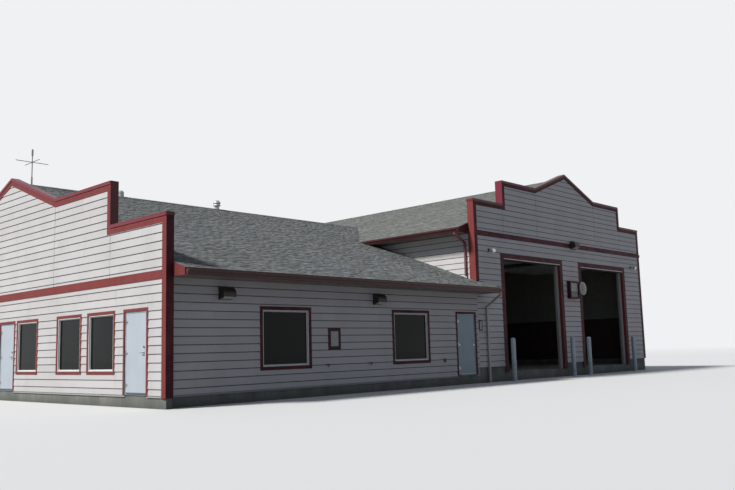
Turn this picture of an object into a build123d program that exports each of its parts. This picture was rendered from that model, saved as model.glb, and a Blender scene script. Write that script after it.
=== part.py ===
from build123d import *
import os

# A small-town fire station: a long low wing whose left end is a stepped false front,
# and a taller hall with two vehicle bays behind a second stepped false front.
# Site frame while modelling, in millimetres: X runs right along the front from the
# face of the left false front, Y runs back from the face of the front walls, and Z
# runs up from the bottom of the foundation.

# Plan
wing_length = 12456
hall_width = 12829
building_depth = 17076
wall_thickness = 190
wing_front_overlap = 225
hall_front_thickness = 250

# Foundation and floor
wing_plinth = 250
slab_top = 300
slab_inset = 25
control_joint = 2
hall_plinth = 530

# Stepped false front of the wing, from its end to its middle, and down from its peak
wing_step_run = 2605
wing_shoulder_run = 3137
wing_peak_above_ridge = 121
wing_shoulder_drop = 1106
wing_step_drop = 1165

# Stepped false front of the hall, in the same way
hall_step_run = 1820
hall_shoulder_run = 2293
hall_peak_above_ridge = 156
hall_shoulder_drop = 872
hall_step_drop = 883

# Roofs: the height is that of the shingles over the face of the side wall
roof_rise = 377
roof_run = 1000
wing_eave_height = 3489
hall_eave_height = 5582
roof_thickness = 130
eave_overhang = 700
hall_eave_overhang = 560
rake_overhang = 300
eave_past_corner = 374
ceiling_thickness = 16
wing_ceiling_drop = 531
hall_ceiling_drop = 324

# Boxed eaves and gutters
fascia_thickness = 22
soffit_thickness = 12
eave_box_height = 175
gutter_width = 125
gutter_height = 130
gutter_wall = 4
gutter_drop = 42

# Boards on the walls
board_proud = 22
cap_board_width = 160
flashing_thickness = 14
flashing_lip = 10
corner_board_width = 140
wing_belt_bottom = 2999
wing_belt_height = 214
hall_belt_bottom = 5124
hall_belt_height = 180
casing_width = 89
facade_casing_width = 72
bay_casing_width = 184

# Windows: the hole in the wall, and the unit in it
front_window_width = 1606
front_window_height = 1475
front_window_sill = 860
first_window_left = 3001
second_window_to_door = 3152
facade_window_width = 1290
facade_window_height = 1440
entrance_window_from_middle = 1400
end_window_from_door = 1695
facade_window_spacing = 1745
window_frame_face = 52
window_frame_depth = 84
window_setback = 16
glass_thickness = 24

# Doors: the hole in the wall, and the unit in it
door_width = 991
side_door_to_hall = 209
side_door_head = 2344
facade_head = 2297
end_door_from_corner = 1320
jamb_face = 38
jamb_depth = 120
leaf_thickness = 44
leaf_face = 2
leaf_gap = 9
leaf_top_gap = 7
stop_size = 15
stop_gap = 6
threshold_height = 14
frame_joint = 0.5
hinge_radius = 6.5
hinge_offset = 12
hinge_height = 114
hinge_joint_gap = 6
hinge_plate = 3
handle_height = 1000
lever_length = 118
lever_reach = 58

# Vehicle bays, from left to right: pier, opening, pier, opening
hall_left_pier = 1708
first_bay_width = 3958
hall_middle_pier = 1648
second_bay_width = 3757
bay_head = 4390
bay_return = 20
bay_return_depth = 90
bay_lining = 30
section_height = 533
section_thickness = 45
section_count = 7
section_gap = 4
track_offset = 45
track_bend = 300
track_depth = 50
track_sheet = 4
track_lift = 260
door_setback = 620

# Downspouts
spout_width = 76
spout_depth = 58
spout_wall_gap = 6
spout_neck = 60
spout_from_gutter_end = 60
spout_elbow_drop = 380
spout_past_corner = 494
spout_foot = 40
hall_spout_setback = 120
hall_spout_elbow_drop = 270
hall_spout_foot = 60

# Lamps, plates and other fittings on the walls
wall_lamp_width = 380
wall_lamp_height = 320
wall_lamp_depth = 240
wall_lamp_below_soffit = 180
wall_lamp_before_window = (1386, 914)
belt_lamp_from_bay = 908
belt_lamp_below_belt = 40
flood_lamp_shift = 50
flood_lamp_above_bay = 250
flood_lamp_radius = 78
sign_plate_past_window = 718
sign_plate_size = (480, 1256, 612)
door_plate_past_corner = 24
door_plate_size = (200, 1780, 370)
pier_box_from_bay = 478
pier_box_size = (700, 3060, 700)
pier_box_depth = 170
pier_box_frame = 60
plate_thickness = 24
mirror_from_bay = 1408
mirror_radius = 270
mirror_reach = 200
mirror_height = 3480
tap_past_first_window = 663
tap_before_second_window = 1114
hose_tap_height = 850
outlet_before_door = 726
outlet_height = 830

# Bollards: how far each stands to the right of its bay jamb
bollard_shifts = (-64, 158, -200, 33)
bollard_setback = 300
bollard_radius = 84
bollard_dome = 38
bollard_height = 1520

# Things on the wing's ridge, with their heights above it
antenna_x = 600
antenna_height = 1172
antenna_boom_lift = 742
antenna_boom_length = 1050
vent_x = 7730
vent_radius = 145
vent_height = 322
flue_x = 3700
flue_radius = 110
flue_height = 212

# Rods thinner than this have twelve flat sides
small_rod = 35

roof_pitch = roof_rise / roof_run
mid_depth = building_depth / 2
hall_left = wing_length
hall_right = wing_length + hall_width
hall_middle = (hall_left + hall_right) / 2
wing_half_front = mid_depth + wing_front_overlap
wing_ridge_height = wing_eave_height + roof_pitch * mid_depth
hall_ridge_height = hall_eave_height + roof_pitch * hall_width / 2
wing_peak_height = wing_ridge_height + wing_peak_above_ridge
wing_shoulder_height = wing_peak_height - wing_shoulder_drop
wing_step_height = wing_shoulder_height - wing_step_drop
hall_peak_height = hall_ridge_height + hall_peak_above_ridge
hall_shoulder_height = hall_peak_height - hall_shoulder_drop
hall_step_height = hall_shoulder_height - hall_step_drop
side_door_left = hall_left - side_door_to_hall - door_width
front_window_lefts = (first_window_left, side_door_left - second_window_to_door)
near_door_centre = wing_half_front - end_door_from_corner
facade_window_centres = (entrance_window_from_middle,
                         near_door_centre - end_window_from_door - facade_window_spacing,
                         near_door_centre - end_window_from_door)
first_bay_left = hall_left + hall_left_pier
first_bay_right = first_bay_left + first_bay_width
second_bay_left = first_bay_right + hall_middle_pier
second_bay_right = second_bay_left + second_bay_width
bay_openings = ((first_bay_left, first_bay_width), (second_bay_left, second_bay_width))
door_height_front = side_door_head - slab_top
door_height_facade = facade_head - slab_top
shapes = {}


def block(x0, x1, y0, y1, z0, z1):
    """A box between two corners."""
    return Pos((x0 + x1) / 2, (y0 + y1) / 2, (z0 + z1) / 2) * Box(x1 - x0, y1 - y0, z1 - z0)


def prism_along_x(points, x0, x1):
    """A prism whose outline is given as (y, z) points."""
    face = Plane.YZ.offset(x0) * Polygon(*points, align=None)
    return extrude(face, amount=x1 - x0, dir=(1, 0, 0))


def prism_along_y(points, y0, y1):
    """A prism whose outline is given as (x, z) points."""
    face = Plane((0, y1, 0), x_dir=(1, 0, 0), z_dir=(0, -1, 0)) * Polygon(*points, align=None)
    return extrude(face, amount=y1 - y0, dir=(0, -1, 0))


def rod(radius, length):
    """A round bar about its own middle, along Z."""
    if radius > small_rod:
        return Cylinder(radius, length)
    return extrude(RegularPolygon(radius, 12), amount=length / 2, both=True)


def post(x, y, z0, z1, radius):
    """An upright round bar."""
    return Pos(x, y, (z0 + z1) / 2) * rod(radius, z1 - z0)


def bar_along_y(x, y0, y1, z, radius):
    """A round bar that runs back into the wall."""
    return Pos(x, (y0 + y1) / 2, z) * Rot(90, 0, 0) * rod(radius, y1 - y0)


def bar_along_x(x0, x1, y, z, radius):
    """A round bar that runs along the wall."""
    return Pos((x0 + x1) / 2, y, z) * Rot(0, 90, 0) * rod(radius, x1 - x0)


def group(pieces):
    """Several solids that share one node."""
    solids = []
    for piece in pieces:
        solids.extend(piece.solids())
    return Compound(solids)


def mirror_back(shape):
    """The same piece on the rear half of the building."""
    return mirror(shape, about=Plane.XZ.offset(-mid_depth))


# Each wall has its own frame: x to the right seen from outside, y inwards, z up
front_side = Location((0, 0, 0))
facade_side = Pos(0, mid_depth, 0) * Rot(0, 0, -90)
rear_side = Pos(wing_length, building_depth, 0) * Rot(0, 0, 180)


def wing_roof_height(y):
    """Top of the wing's roof at a distance y behind the front wall's face."""
    return wing_ridge_height - roof_pitch * abs(mid_depth - y)


def hall_roof_height(x):
    """Top of the hall's roof at a place x along the front."""
    return hall_ridge_height - roof_pitch * abs(hall_middle - x)


def wing_volume(drop, x1):
    """All that lies under the wing's roof surface, lowered by drop."""
    reach = 2 * eave_overhang
    low = wing_roof_height(-reach) - drop
    top = wing_ridge_height - drop
    outline = [(-reach, 0), (-reach, low), (mid_depth, top)]
    outline += [(building_depth + reach, low), (building_depth + reach, 0)]
    return prism_along_x(outline, -wing_front_overlap, x1)


def hall_volume(drop, x0, x1):
    """All that lies under the hall's roof surface, lowered by drop, between x0 and x1."""
    outline = [(x0, 0), (x0, hall_roof_height(x0) - drop)]
    if x0 < hall_middle < x1:
        outline.append((hall_middle, hall_ridge_height - drop))
    outline += [(x1, hall_roof_height(x1) - drop), (x1, 0)]
    return prism_along_y(outline, 0, building_depth)


def stepped_outline(half, step_run, shoulder_run, low, middle, peak, base):
    """The outline of a false front, with its middle at x = 0."""
    step = half - step_run
    valley = step - shoulder_run
    right = [(valley, middle), (step, middle), (step, low), (half, low), (half, base)]
    left = [(-x, z) for x, z in reversed(right)]
    return left + [(0, peak)] + right


wing_outline_values = (wing_half_front, wing_step_run, wing_shoulder_run,
                       wing_step_height, wing_shoulder_height, wing_peak_height)
hall_outline_values = (hall_width / 2, hall_step_run, hall_shoulder_run,
                       hall_step_height, hall_shoulder_height, hall_peak_height)


def cap_boards(outline_values, base):
    """Mitred boards that follow the outline of a false front on its face."""
    outer = Polygon(*stepped_outline(*outline_values, base), align=None)
    longer = Polygon(*stepped_outline(*outline_values, base - 2 * cap_board_width), align=None)
    inner = offset(longer, amount=-cap_board_width, kind=Kind.INTERSECTION)
    band = outer - inner
    face = Plane((0, 0, 0), x_dir=(1, 0, 0), z_dir=(0, -1, 0))
    return extrude(face * band, amount=board_proud, dir=(0, -1, 0))


def cap_flashing(outline_values, thickness, base):
    """A bent metal cap over the top and the ends of a false front."""
    shallow = Polygon(*stepped_outline(*outline_values, base), align=None)
    deeper = Polygon(*stepped_outline(*outline_values, base - 2 * cap_board_width), align=None)
    grown = offset(deeper, amount=flashing_thickness, kind=Kind.INTERSECTION)
    reach = 2 * outline_values[0]
    keep = Pos(0, base + outline_values[5]) * Rectangle(reach, 2 * outline_values[5])
    band = (grown & keep) - shallow
    front = board_proud + flashing_lip
    back = Plane((0, thickness + flashing_lip, 0), x_dir=(1, 0, 0), z_dir=(0, -1, 0))
    return extrude(back * band, amount=thickness + flashing_lip + front, dir=(0, -1, 0))


def ring_boards(x0, x1, z0, z1, width, with_bottom):
    """Casing boards round an opening, proud of the wall's face."""
    low = z0 - width if with_bottom else z0
    cut_from = z0 if with_bottom else z0 - 1
    outer = block(x0 - width, x1 + width, -board_proud, 0, low, z1 + width)
    return outer - block(x0, x1, -2 * board_proud, board_proud, cut_from, z1)


def window_frame(x0, z0, width, height):
    """A fixed sash frame set a little behind the wall's face."""
    y0 = window_setback
    y1 = y0 + window_frame_depth
    face = window_frame_face
    outer = block(x0, x0 + width, y0, y1, z0, z0 + height)
    return outer - block(x0 + face, x0 + width - face, y0 - 1, y1 + 1, z0 + face, z0 + height - face)


def window_glass(x0, z0, width, height):
    """A sealed pane that fills the frame."""
    face = window_frame_face
    y0 = window_setback + window_frame_depth / 2 - glass_thickness / 2
    return block(x0 + face, x0 + width - face, y0, y0 + glass_thickness, z0 + face, z0 + height - face)


def window_hole(x0, z0, width, height):
    """The hole that a window needs in its wall."""
    return block(x0, x0 + width, -1, wall_thickness + 1, z0, z0 + height)


def facade_windows():
    """Left edge, sill, width and height of each window in the wing's false front."""
    sill = facade_head - facade_window_height
    half = facade_window_width / 2
    centres = [s * c for c in facade_window_centres for s in (-1, 1)]
    return [(c - half, sill, facade_window_width, facade_window_height) for c in centres]


def front_windows():
    """Left edge, sill, width and height of each window in the long walls."""
    size = (front_window_sill, front_window_width, front_window_height)
    return [(x, *size) for x in front_window_lefts]


def rear_windows():
    """The rear wall repeats the front windows, with one more where the front has its door."""
    lefts = [wing_length - x - front_window_width for x in front_window_lefts]
    return [(x, front_window_sill, front_window_width, front_window_height) for x in lefts]


def door_frame(height):
    """Jambs, head, threshold and stops of one door, its hinges on the left."""
    w = door_width
    f = jamb_face
    g = frame_joint
    top = height - f
    y0 = leaf_face + leaf_thickness + stop_gap
    y1 = y0 + stop_size
    s = stop_size
    return [block(0, f, 0, jamb_depth, 0, height),
            block(w - f, w, 0, jamb_depth, 0, height),
            block(f + g, w - f - g, 0, jamb_depth, top, height),
            block(f + g, w - f - g, 0, jamb_depth, 0, threshold_height),
            block(f + g, f + s, y0, y1, threshold_height + g, top - g),
            block(w - f - s, w - f - g, y0, y1, threshold_height + g, top - g),
            block(f + s + g, w - f - s - g, y0, y1, top - s, top - g)]


def hinge_heights(height):
    """Middle of each of the three hinges of a door."""
    return (height * 0.12, height * 0.5, height * 0.88)


def hinge_axis_x():
    """Where the hinge pins stand, seen from outside."""
    return jamb_face + leaf_gap / 3


def frame_hinges(height):
    """The upper and lower knuckles, with the leaf that is screwed to the jamb."""
    pieces = []
    third = (hinge_height - 2 * hinge_joint_gap) / 3
    for z in hinge_heights(height):
        for low in (z - hinge_height / 2, z + hinge_height / 2 - third):
            knuckle = post(hinge_axis_x(), -hinge_offset, low, low + third, hinge_radius)
            web_x0 = jamb_face - 24
            web = block(web_x0, hinge_axis_x(), -hinge_offset - hinge_plate / 2,
                        -hinge_offset + hinge_plate / 2, low, low + third)
            foot = block(web_x0, web_x0 + hinge_plate, -hinge_offset - hinge_plate / 2, 0, low, low + third)
            pieces.append(knuckle + web + foot)
    return pieces


def leaf_hinges(height):
    """The middle knuckles, with the strap on the door."""
    pieces = []
    third = (hinge_height - 2 * hinge_joint_gap) / 3
    for z in hinge_heights(height):
        low = z - third / 2
        knuckle = post(hinge_axis_x(), -hinge_offset, low, low + third, hinge_radius)
        strap_end = jamb_face + leaf_gap + 70
        strap = block(hinge_axis_x(), strap_end, -hinge_offset - hinge_plate / 2,
                      -hinge_offset + hinge_plate / 2, low, low + third)
        pad = block(jamb_face + leaf_gap + 10, strap_end, -hinge_offset, leaf_face, low, low + third)
        pieces.append(knuckle + strap + pad)
    return pieces


def door_leaf(height):
    """One flush leaf."""
    x0 = jamb_face + leaf_gap
    x1 = door_width - jamb_face - leaf_gap
    z0 = threshold_height + leaf_top_gap
    z1 = height - jamb_face - leaf_top_gap
    return block(x0, x1, leaf_face, leaf_face + leaf_thickness, z0, z1)


def door_hardware():
    """Lever handles and roses on both faces, with a dead bolt above."""
    x = door_width - jamb_face - leaf_gap - 70
    pieces = []
    for side in (-1, 1):
        face = leaf_face if side < 0 else leaf_face + leaf_thickness
        tip = face + side * lever_reach
        low, high = sorted((face, face + side * 9))
        rose = bar_along_y(x, low, high, handle_height, 27)
        low, high = sorted((face, tip))
        neck = bar_along_y(x, low, high, handle_height, 10)
        low, high = sorted((tip, tip - side * 14))
        lever = block(x - lever_length, x + 10, low, high, handle_height - 10, handle_height + 10)
        lever = chamfer(lever.edges().filter_by(Axis.Y), 6)
        low, high = sorted((face, face + side * 20))
        bolt = bar_along_y(x, low, high, handle_height + 140, 24)
        pieces += [rose + neck + lever, bolt]
    return pieces


def make_foundation():
    """One concrete slab on grade, a little behind the face of the walls."""
    s = slab_inset
    slab = block(s, hall_right - s, s, building_depth - s, 0, slab_top)
    end_wall = block(s, wall_thickness, s - wing_front_overlap,
                     building_depth + wing_front_overlap - s, 0, slab_top)
    shapes["foundation"] = slab + end_wall


def make_hall_plinth():
    """The raised concrete kerb under the hall's walls, which starts beside the wing's door."""
    s = slab_inset
    t = wall_thickness
    edges = [hall_left + s]
    for left, width in bay_openings:
        edges += [left, left + width]
    edges.append(hall_right - s)
    front = hall_front_thickness
    z0 = slab_top
    z1 = hall_plinth
    pieces = [block(edges[i], edges[i + 1], s, front, z0, z1) for i in (0, 2, 4)]
    back = building_depth - t - control_joint
    first = front + control_joint
    pieces.append(block(hall_left + s, hall_left + t, first, back, z0, z1))
    pieces.append(block(hall_right - t, hall_right - s, first, back, z0, z1))
    pieces.append(block(hall_left + s, hall_right - s, building_depth - t, building_depth - s, z0, z1))
    casing_right = side_door_left + door_width + facade_casing_width
    pieces.append(block(casing_right, hall_left, s, t, z0, z1))
    shapes["hall_plinth"] = group(pieces)


def make_wing_facade():
    """The wing's left end wall, split beside and over its doors, with the false front above."""
    t = wall_thickness
    slab = shapes["foundation"]
    outline = stepped_outline(*wing_outline_values, facade_head)
    shapes["facade_false_front"] = facade_side * prism_along_y(outline, 0, t)
    near = near_door_centre
    half = door_width / 2
    spans = ((near + half, wing_half_front), (half, near - half),
             (-near + half, -half), (-wing_half_front, -near - half))
    holes = [window_hole(*w) for w in facade_windows()]
    walls = []
    for x0, x1 in spans:
        wall = block(x0, x1, 0, t, wing_plinth, facade_head)
        for hole in holes:
            wall -= hole
        walls.append(facade_side * wall - slab)
    shapes["facade_walls"] = group(walls)


def make_wing_walls():
    """The long front and rear walls of the wing."""
    t = wall_thickness
    slab = shapes["foundation"]
    top = wing_roof_height(0) - roof_thickness
    under_roof = wing_volume(roof_thickness, wing_length)
    front = block(t, side_door_left, 0, t, wing_plinth, top + t) & under_roof
    for w in front_windows():
        front -= window_hole(*w)
    door_right = side_door_left + door_width
    jamb = block(door_right, hall_left, 0, t, wing_plinth, side_door_head)
    shapes["wing_front_wall"] = group([front - slab, jamb - slab - shapes["hall_plinth"]])
    over = block(side_door_left, hall_left, 0, t, side_door_head, top + t) & under_roof
    shapes["side_door_lintel"] = over
    rear = block(0, wing_length - t, 0, t, wing_plinth, top + t)
    for w in rear_windows():
        rear -= window_hole(*w)
    rear = rear_side * rear
    shapes["wing_rear_wall"] = (rear & under_roof) - slab


def make_hall_walls():
    """The hall's front piers, false front, side walls and rear gable."""
    t = wall_thickness
    ft = hall_front_thickness
    (left_1, width_1), (left_2, width_2) = bay_openings
    base = hall_plinth
    shapes["hall_front_piers"] = group([block(hall_left, left_1, 0, ft, base, bay_head),
                                        block(left_1 + width_1, left_2, 0, ft, base, bay_head),
                                        block(left_2 + width_2, hall_right, 0, ft, base, bay_head)])
    outline = stepped_outline(*hall_outline_values, bay_head)
    shapes["hall_false_front"] = Pos(hall_middle, 0, 0) * prism_along_y(outline, 0, ft)
    under = hall_volume(roof_thickness, hall_left, hall_right)
    high = hall_ridge_height
    left = block(hall_left, hall_left + t, ft, building_depth, base, high) & under
    right = block(hall_right - t, hall_right, ft, building_depth, base, high) & under
    rear = block(hall_left + t, hall_right - t, building_depth - t, building_depth, base, high) & under
    shapes["hall_wall_left"] = left
    shapes["hall_wall_right"] = right
    shapes["hall_wall_rear"] = rear


def make_wing_roof():
    """Two slopes, cut to the hall's side wall and laid over the hall's roof in two valleys."""
    x0 = wall_thickness
    reach = -eave_overhang
    low = wing_roof_height(reach)
    outline = [(reach, low), (mid_depth, wing_ridge_height),
               (mid_depth, wing_ridge_height - roof_thickness), (reach, low - roof_thickness)]
    meet = hall_middle - (hall_ridge_height - wing_ridge_height) / roof_pitch
    slope = prism_along_x(outline, x0, meet + 100)
    past = hall_left + eave_past_corner
    slope -= block(past, meet + 200, -2 * eave_overhang, 0, 0, wing_ridge_height)
    slope -= hall_volume(0, hall_left, hall_right)
    slope -= hall_front_cut()
    slope = largest(slope)
    shapes["wing_roof_front"] = slope
    shapes["wing_roof_rear"] = mirror_back(slope)


def largest(shape):
    """The biggest solid of a cut shape."""
    return max(shape.solids(), key=lambda s: s.volume)


def hall_front_cut():
    """The space that the hall's false front takes."""
    return block(hall_left, hall_right, 0, hall_front_thickness, 0, hall_peak_height)


def make_hall_roof():
    """Two slopes behind the false front; the left eave stops at the wing's roof."""
    y0 = hall_front_thickness
    y1 = building_depth + rake_overhang
    for name, side in (("hall_roof_left", -1), ("hall_roof_right", 1)):
        reach = hall_middle + side * (hall_width / 2 + hall_eave_overhang)
        low = hall_roof_height(reach)
        outline = [(reach, low), (hall_middle, hall_ridge_height),
                   (hall_middle, hall_ridge_height - roof_thickness), (reach, low - roof_thickness)]
        slope = prism_along_y(outline, y0, y1)
        if side < 0:
            inside = wing_volume(0, hall_left)
            slope = slope - inside
            slope = largest(slope)
        shapes[name] = slope


def eave_box(length_start, length_end, edge_height, overhang):
    """Fascia and level soffit of an eave along x, its wall at y = 0."""
    top = edge_height
    bottom = top - eave_box_height
    y = -overhang
    fascia = block(length_start, length_end, y - fascia_thickness, y, bottom, top)
    soffit = block(length_start, length_end, y, 0, bottom, bottom + soffit_thickness)
    return fascia + soffit


def gutter(length_start, length_end, edge_height, overhang):
    """A K-style gutter with closed ends, in front of the fascia."""
    back = -overhang - fascia_thickness
    top = edge_height - gutter_drop
    bottom = top - gutter_height
    w = gutter_width
    h = gutter_height
    outer = [(back, bottom), (back - w * 0.62, bottom), (back - w * 0.72, bottom + h * 0.38),
             (back - w, bottom + h * 0.72), (back - w, top), (back, top)]
    g = gutter_wall
    inner = [(back - g, bottom + g), (back - w * 0.62 + g, bottom + g),
             (back - w * 0.72 + g, bottom + h * 0.38), (back - w + g, bottom + h * 0.72),
             (back - w + g, top + 1), (back - g, top + 1)]
    shell = prism_along_x(outer, length_start, length_end)
    return shell - prism_along_x(inner, length_start + g, length_end - g)


def hall_eave_side(shape, side):
    """Turns an eave made along x at y = 0 to the hall's left or right side wall."""
    if side < 0:
        return Pos(hall_left, building_depth, 0) * Rot(0, 0, -90) * shape
    return Pos(hall_right, 0, 0) * Rot(0, 0, 90) * shape


def eave_end(x0, x1, y1):
    """The board that closes the end of the wing's boxed eave, up to the roof's surface."""
    y0 = -eave_overhang - fascia_thickness
    low = wing_roof_height(-eave_overhang) - eave_box_height
    outline = [(y0, low), (y0, wing_roof_height(y0)), (y1, wing_roof_height(y1)), (y1, low)]
    return prism_along_x(outline, x0, x1)


def make_eaves():
    """Boxed eaves and gutters on both roofs, with barge boards on the hall's rear gable."""
    board = fascia_thickness
    x0 = wall_thickness
    x1 = hall_left + eave_past_corner
    edge = wing_roof_height(-eave_overhang)
    wing_box = eave_box(x0, x1, edge, eave_overhang)
    left_end = eave_end(x0 - board, x0, -wing_front_overlap - flashing_thickness)
    right_end = eave_end(x1, x1 + board, 0)
    wing_box = wing_box + left_end + right_end
    wing_trough = gutter(x0, x1, edge, eave_overhang)
    y0 = hall_front_thickness
    y1 = building_depth + rake_overhang
    back = building_depth - y1
    front = building_depth - y0
    edge = hall_roof_height(hall_left - hall_eave_overhang)
    wing_body = wing_volume(0, hall_left + 1)
    over = hall_eave_overhang
    left_box = hall_eave_side(eave_box(back, front, edge, over), -1) - wing_body
    right_box = hall_eave_side(eave_box(y0, y1, edge, over), 1)
    left_trough = hall_eave_side(gutter(back, front, edge, over), -1) - wing_body
    right_trough = hall_eave_side(gutter(y0, y1, edge, over), 1)
    shapes["wing_eaves"] = group([wing_box, mirror_back(wing_box)])
    shapes["hall_eaves"] = group([left_box, right_box, rake_boards(y1)])
    shapes["gutters"] = group([wing_trough, mirror_back(wing_trough), left_trough, right_trough])


def rake_boards(y1):
    """A pair of barge boards along the hall's rear gable."""
    reach = hall_width / 2 + hall_eave_overhang
    ends = [hall_middle - reach, hall_middle + reach]
    low = hall_roof_height(ends[0])
    outline = [(ends[0], low), (hall_middle, hall_ridge_height), (ends[1], low),
               (ends[1], low - eave_box_height), (hall_middle, hall_ridge_height - eave_box_height),
               (ends[0], low - eave_box_height)]
    return prism_along_y(outline, y1 + frame_joint, y1 + fascia_thickness)


def make_ceilings():
    """Flat board ceilings of both rooms."""
    t = wall_thickness
    low = wing_roof_height(t) - roof_thickness - wing_ceiling_drop
    wing = block(t, hall_left, t, building_depth - t, low, low + ceiling_thickness)
    low = hall_roof_height(hall_left + t) - roof_thickness - hall_ceiling_drop
    hall = block(hall_left + t, hall_right - t, hall_front_thickness, building_depth - t,
                 low, low + ceiling_thickness)
    shapes["ceilings"] = group([wing, hall])


def make_cap_trim():
    """Boards and metal caps along both false fronts, and the belts below them."""
    base = wing_plinth
    boards = cap_boards(wing_outline_values, base)
    belt_half = wing_half_front - cap_board_width
    belt = block(-belt_half, belt_half, -board_proud, 0, wing_belt_bottom,
                 wing_belt_bottom + wing_belt_height)
    shapes["facade_cap_boards"] = facade_side * (boards + belt)
    metal = cap_flashing(wing_outline_values, wall_thickness, base)
    shapes["facade_cap_flashing"] = facade_side * metal
    boards = cap_boards(hall_outline_values, hall_plinth)
    belt_half = hall_width / 2 - cap_board_width
    belt = block(-belt_half, belt_half, -board_proud, 0, hall_belt_bottom,
                 hall_belt_bottom + hall_belt_height)
    past = hall_left + eave_past_corner
    roof_space = wing_volume(0, past)
    placed = Pos(hall_middle, 0, 0) * (boards + belt)
    shapes["hall_cap_boards"] = largest(placed - roof_space)
    metal = Pos(hall_middle, 0, 0) * cap_flashing(hall_outline_values, hall_front_thickness, hall_plinth)
    shapes["hall_cap_flashing"] = largest(metal - roof_space)


def make_casings():
    """Casing boards round the doors and windows of every wall."""
    w = casing_width
    f = facade_casing_width
    rings = [ring_boards(x, x + dx, z, z + dz, w, True) for x, z, dx, dz in front_windows()]
    left = side_door_left
    rings.append(ring_boards(left, left + door_width, slab_top, side_door_head, f, False))
    rings += [rear_side * ring_boards(x, x + dx, z, z + dz, w, True) for x, z, dx, dz in rear_windows()]
    rings += [facade_side * ring_boards(x, x + dx, z, z + dz, f, True)
              for x, z, dx, dz in facade_windows()]
    for centre in (-near_door_centre, 0, near_door_centre):
        x0 = centre - door_width / 2
        rings.append(facade_side * ring_boards(x0, x0 + door_width, slab_top, facade_head, f, False))
    shapes["wall_casings"] = group(rings)
    shapes["bay_casings"] = group([bay_casing(x, x + dx) for x, dx in bay_openings])


def bay_casing(x0, x1):
    """Wide boards round a vehicle bay, with a return into the opening."""
    r = bay_return
    boards = ring_boards(x0, x1, slab_top, bay_head, bay_casing_width, False)
    inner = block(x0, x1, -board_proud, bay_return_depth, slab_top, bay_head)
    inner -= block(x0 + r, x1 - r, -2 * board_proud, 2 * bay_return_depth, slab_top - 1, bay_head - r)
    return boards + inner


def make_corner_boards():
    """Boards on the hall's rear corners and on its left wall above the wing's roof."""
    w = corner_board_width
    b = board_proud
    high = hall_roof_height(hall_left - hall_eave_overhang) - eave_box_height
    y = building_depth
    right = block(hall_right, hall_right + b, y - w, y, hall_plinth, high)
    right += block(hall_right - w, hall_right + b, y, y + b, hall_plinth, high)
    left = block(hall_left - b, hall_left, y - w, y, hall_plinth, high)
    left += block(hall_left - b, hall_left + w, y, y + b, hall_plinth, high)
    space = wing_volume(0, hall_left + eave_past_corner)
    shapes["corner_boards"] = group([right, largest(left - space)])


def make_windows():
    """Frames and panes of all windows."""
    frames = []
    panes = []
    for side, windows in ((front_side, front_windows()), (facade_side, facade_windows()),
                          (rear_side, rear_windows())):
        frames += [side * window_frame(*w) for w in windows]
        panes += [side * window_glass(*w) for w in windows]
    shapes["window_frames"] = group(frames)
    shapes["window_glass"] = group(panes)


def door_places():
    """Name, wall frame, left edge and height of each door."""
    half = door_width / 2
    return (("side_door", front_side, side_door_left, door_height_front),
            ("near_door", facade_side, near_door_centre - half, door_height_facade),
            ("entrance_door", facade_side, -half, door_height_facade),
            ("far_door", facade_side, -near_door_centre - half, door_height_facade))


def make_doors():
    """Frames, leaves, hinges and handles of the four doors."""
    frames = []
    hinges = []
    for name, side, left, height in door_places():
        spot = side * Pos(left, 0, slab_top)
        frames += [spot * p for p in door_frame(height)]
        hinges += [spot * p for p in frame_hinges(height)]
        shapes[name] = spot * door_leaf(height)
        metal = door_hardware() + leaf_hinges(height)
        shapes[name + "_hardware"] = group([spot * p for p in metal])
    shapes["door_frames"] = group(frames)
    shapes["door_frame_hinges"] = group(hinges)


def make_bays():
    """Jamb linings, tracks and the raised sectional doors of both bays."""
    linings = []
    tracks = []
    doors = []
    ft = hall_front_thickness
    for left, width in bay_openings:
        right = left + width
        lining = block(left, right, bay_return_depth, ft, slab_top, bay_head)
        lining -= block(left + bay_lining, right - bay_lining, 0, 2 * ft, 0, bay_head - bay_lining)
        linings.append(lining)
        for x, side in ((left, -1), (right, 1)):
            tracks += bay_track(x, side)
        z = bay_head + track_lift
        y = ft + door_setback
        for i in range(section_count):
            doors.append(block(left - track_offset + 5, right + track_offset - 5,
                               y, y + section_height, z, z + section_thickness))
            y += section_height + section_gap
    shapes["bay_linings"] = group(linings)
    shapes["bay_door_tracks"] = group(tracks)
    shapes["bay_doors_raised"] = group(doors)


def bay_track(x, side):
    """The upright track and the curved and level one of a bay's side."""
    ft = hall_front_thickness
    level = bay_head + track_lift + section_thickness / 2
    bend = track_bend
    middle = ft + track_offset
    low, high = sorted((x + side * track_offset, x + side * (track_offset + track_sheet)))
    run_end = ft + door_setback + section_count * (section_height + section_gap)
    half = track_depth / 2
    upright = block(low, high, middle - half, middle + half, slab_top, level - bend - control_joint)
    plane = Plane((low, 0, 0), x_dir=(0, 1, 0), z_dir=(1, 0, 0))
    centre = Pos(middle + bend, level - bend)
    ring = centre * Circle(bend + half) - centre * Circle(bend - half)
    corner = Pos(middle + bend / 2 - half, level - bend / 2 + half)
    quarter = corner * Rectangle(bend + track_depth, bend + track_depth)
    curved = extrude(plane * (ring & quarter), amount=track_sheet, dir=(1, 0, 0))
    flat = block(low, high, middle + bend, run_end, level - half, level + half)
    return [upright, curved + flat]


def spout(points):
    """A downspout of rectangular tube through the given points."""
    path = Polyline(*points)
    start = Plane(origin=path @ 0, z_dir=path % 0, x_dir=(1, 0, 0))
    section = start * Rectangle(spout_width, spout_depth)
    return sweep(section, path=path, transition=Transition.RIGHT)


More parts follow.
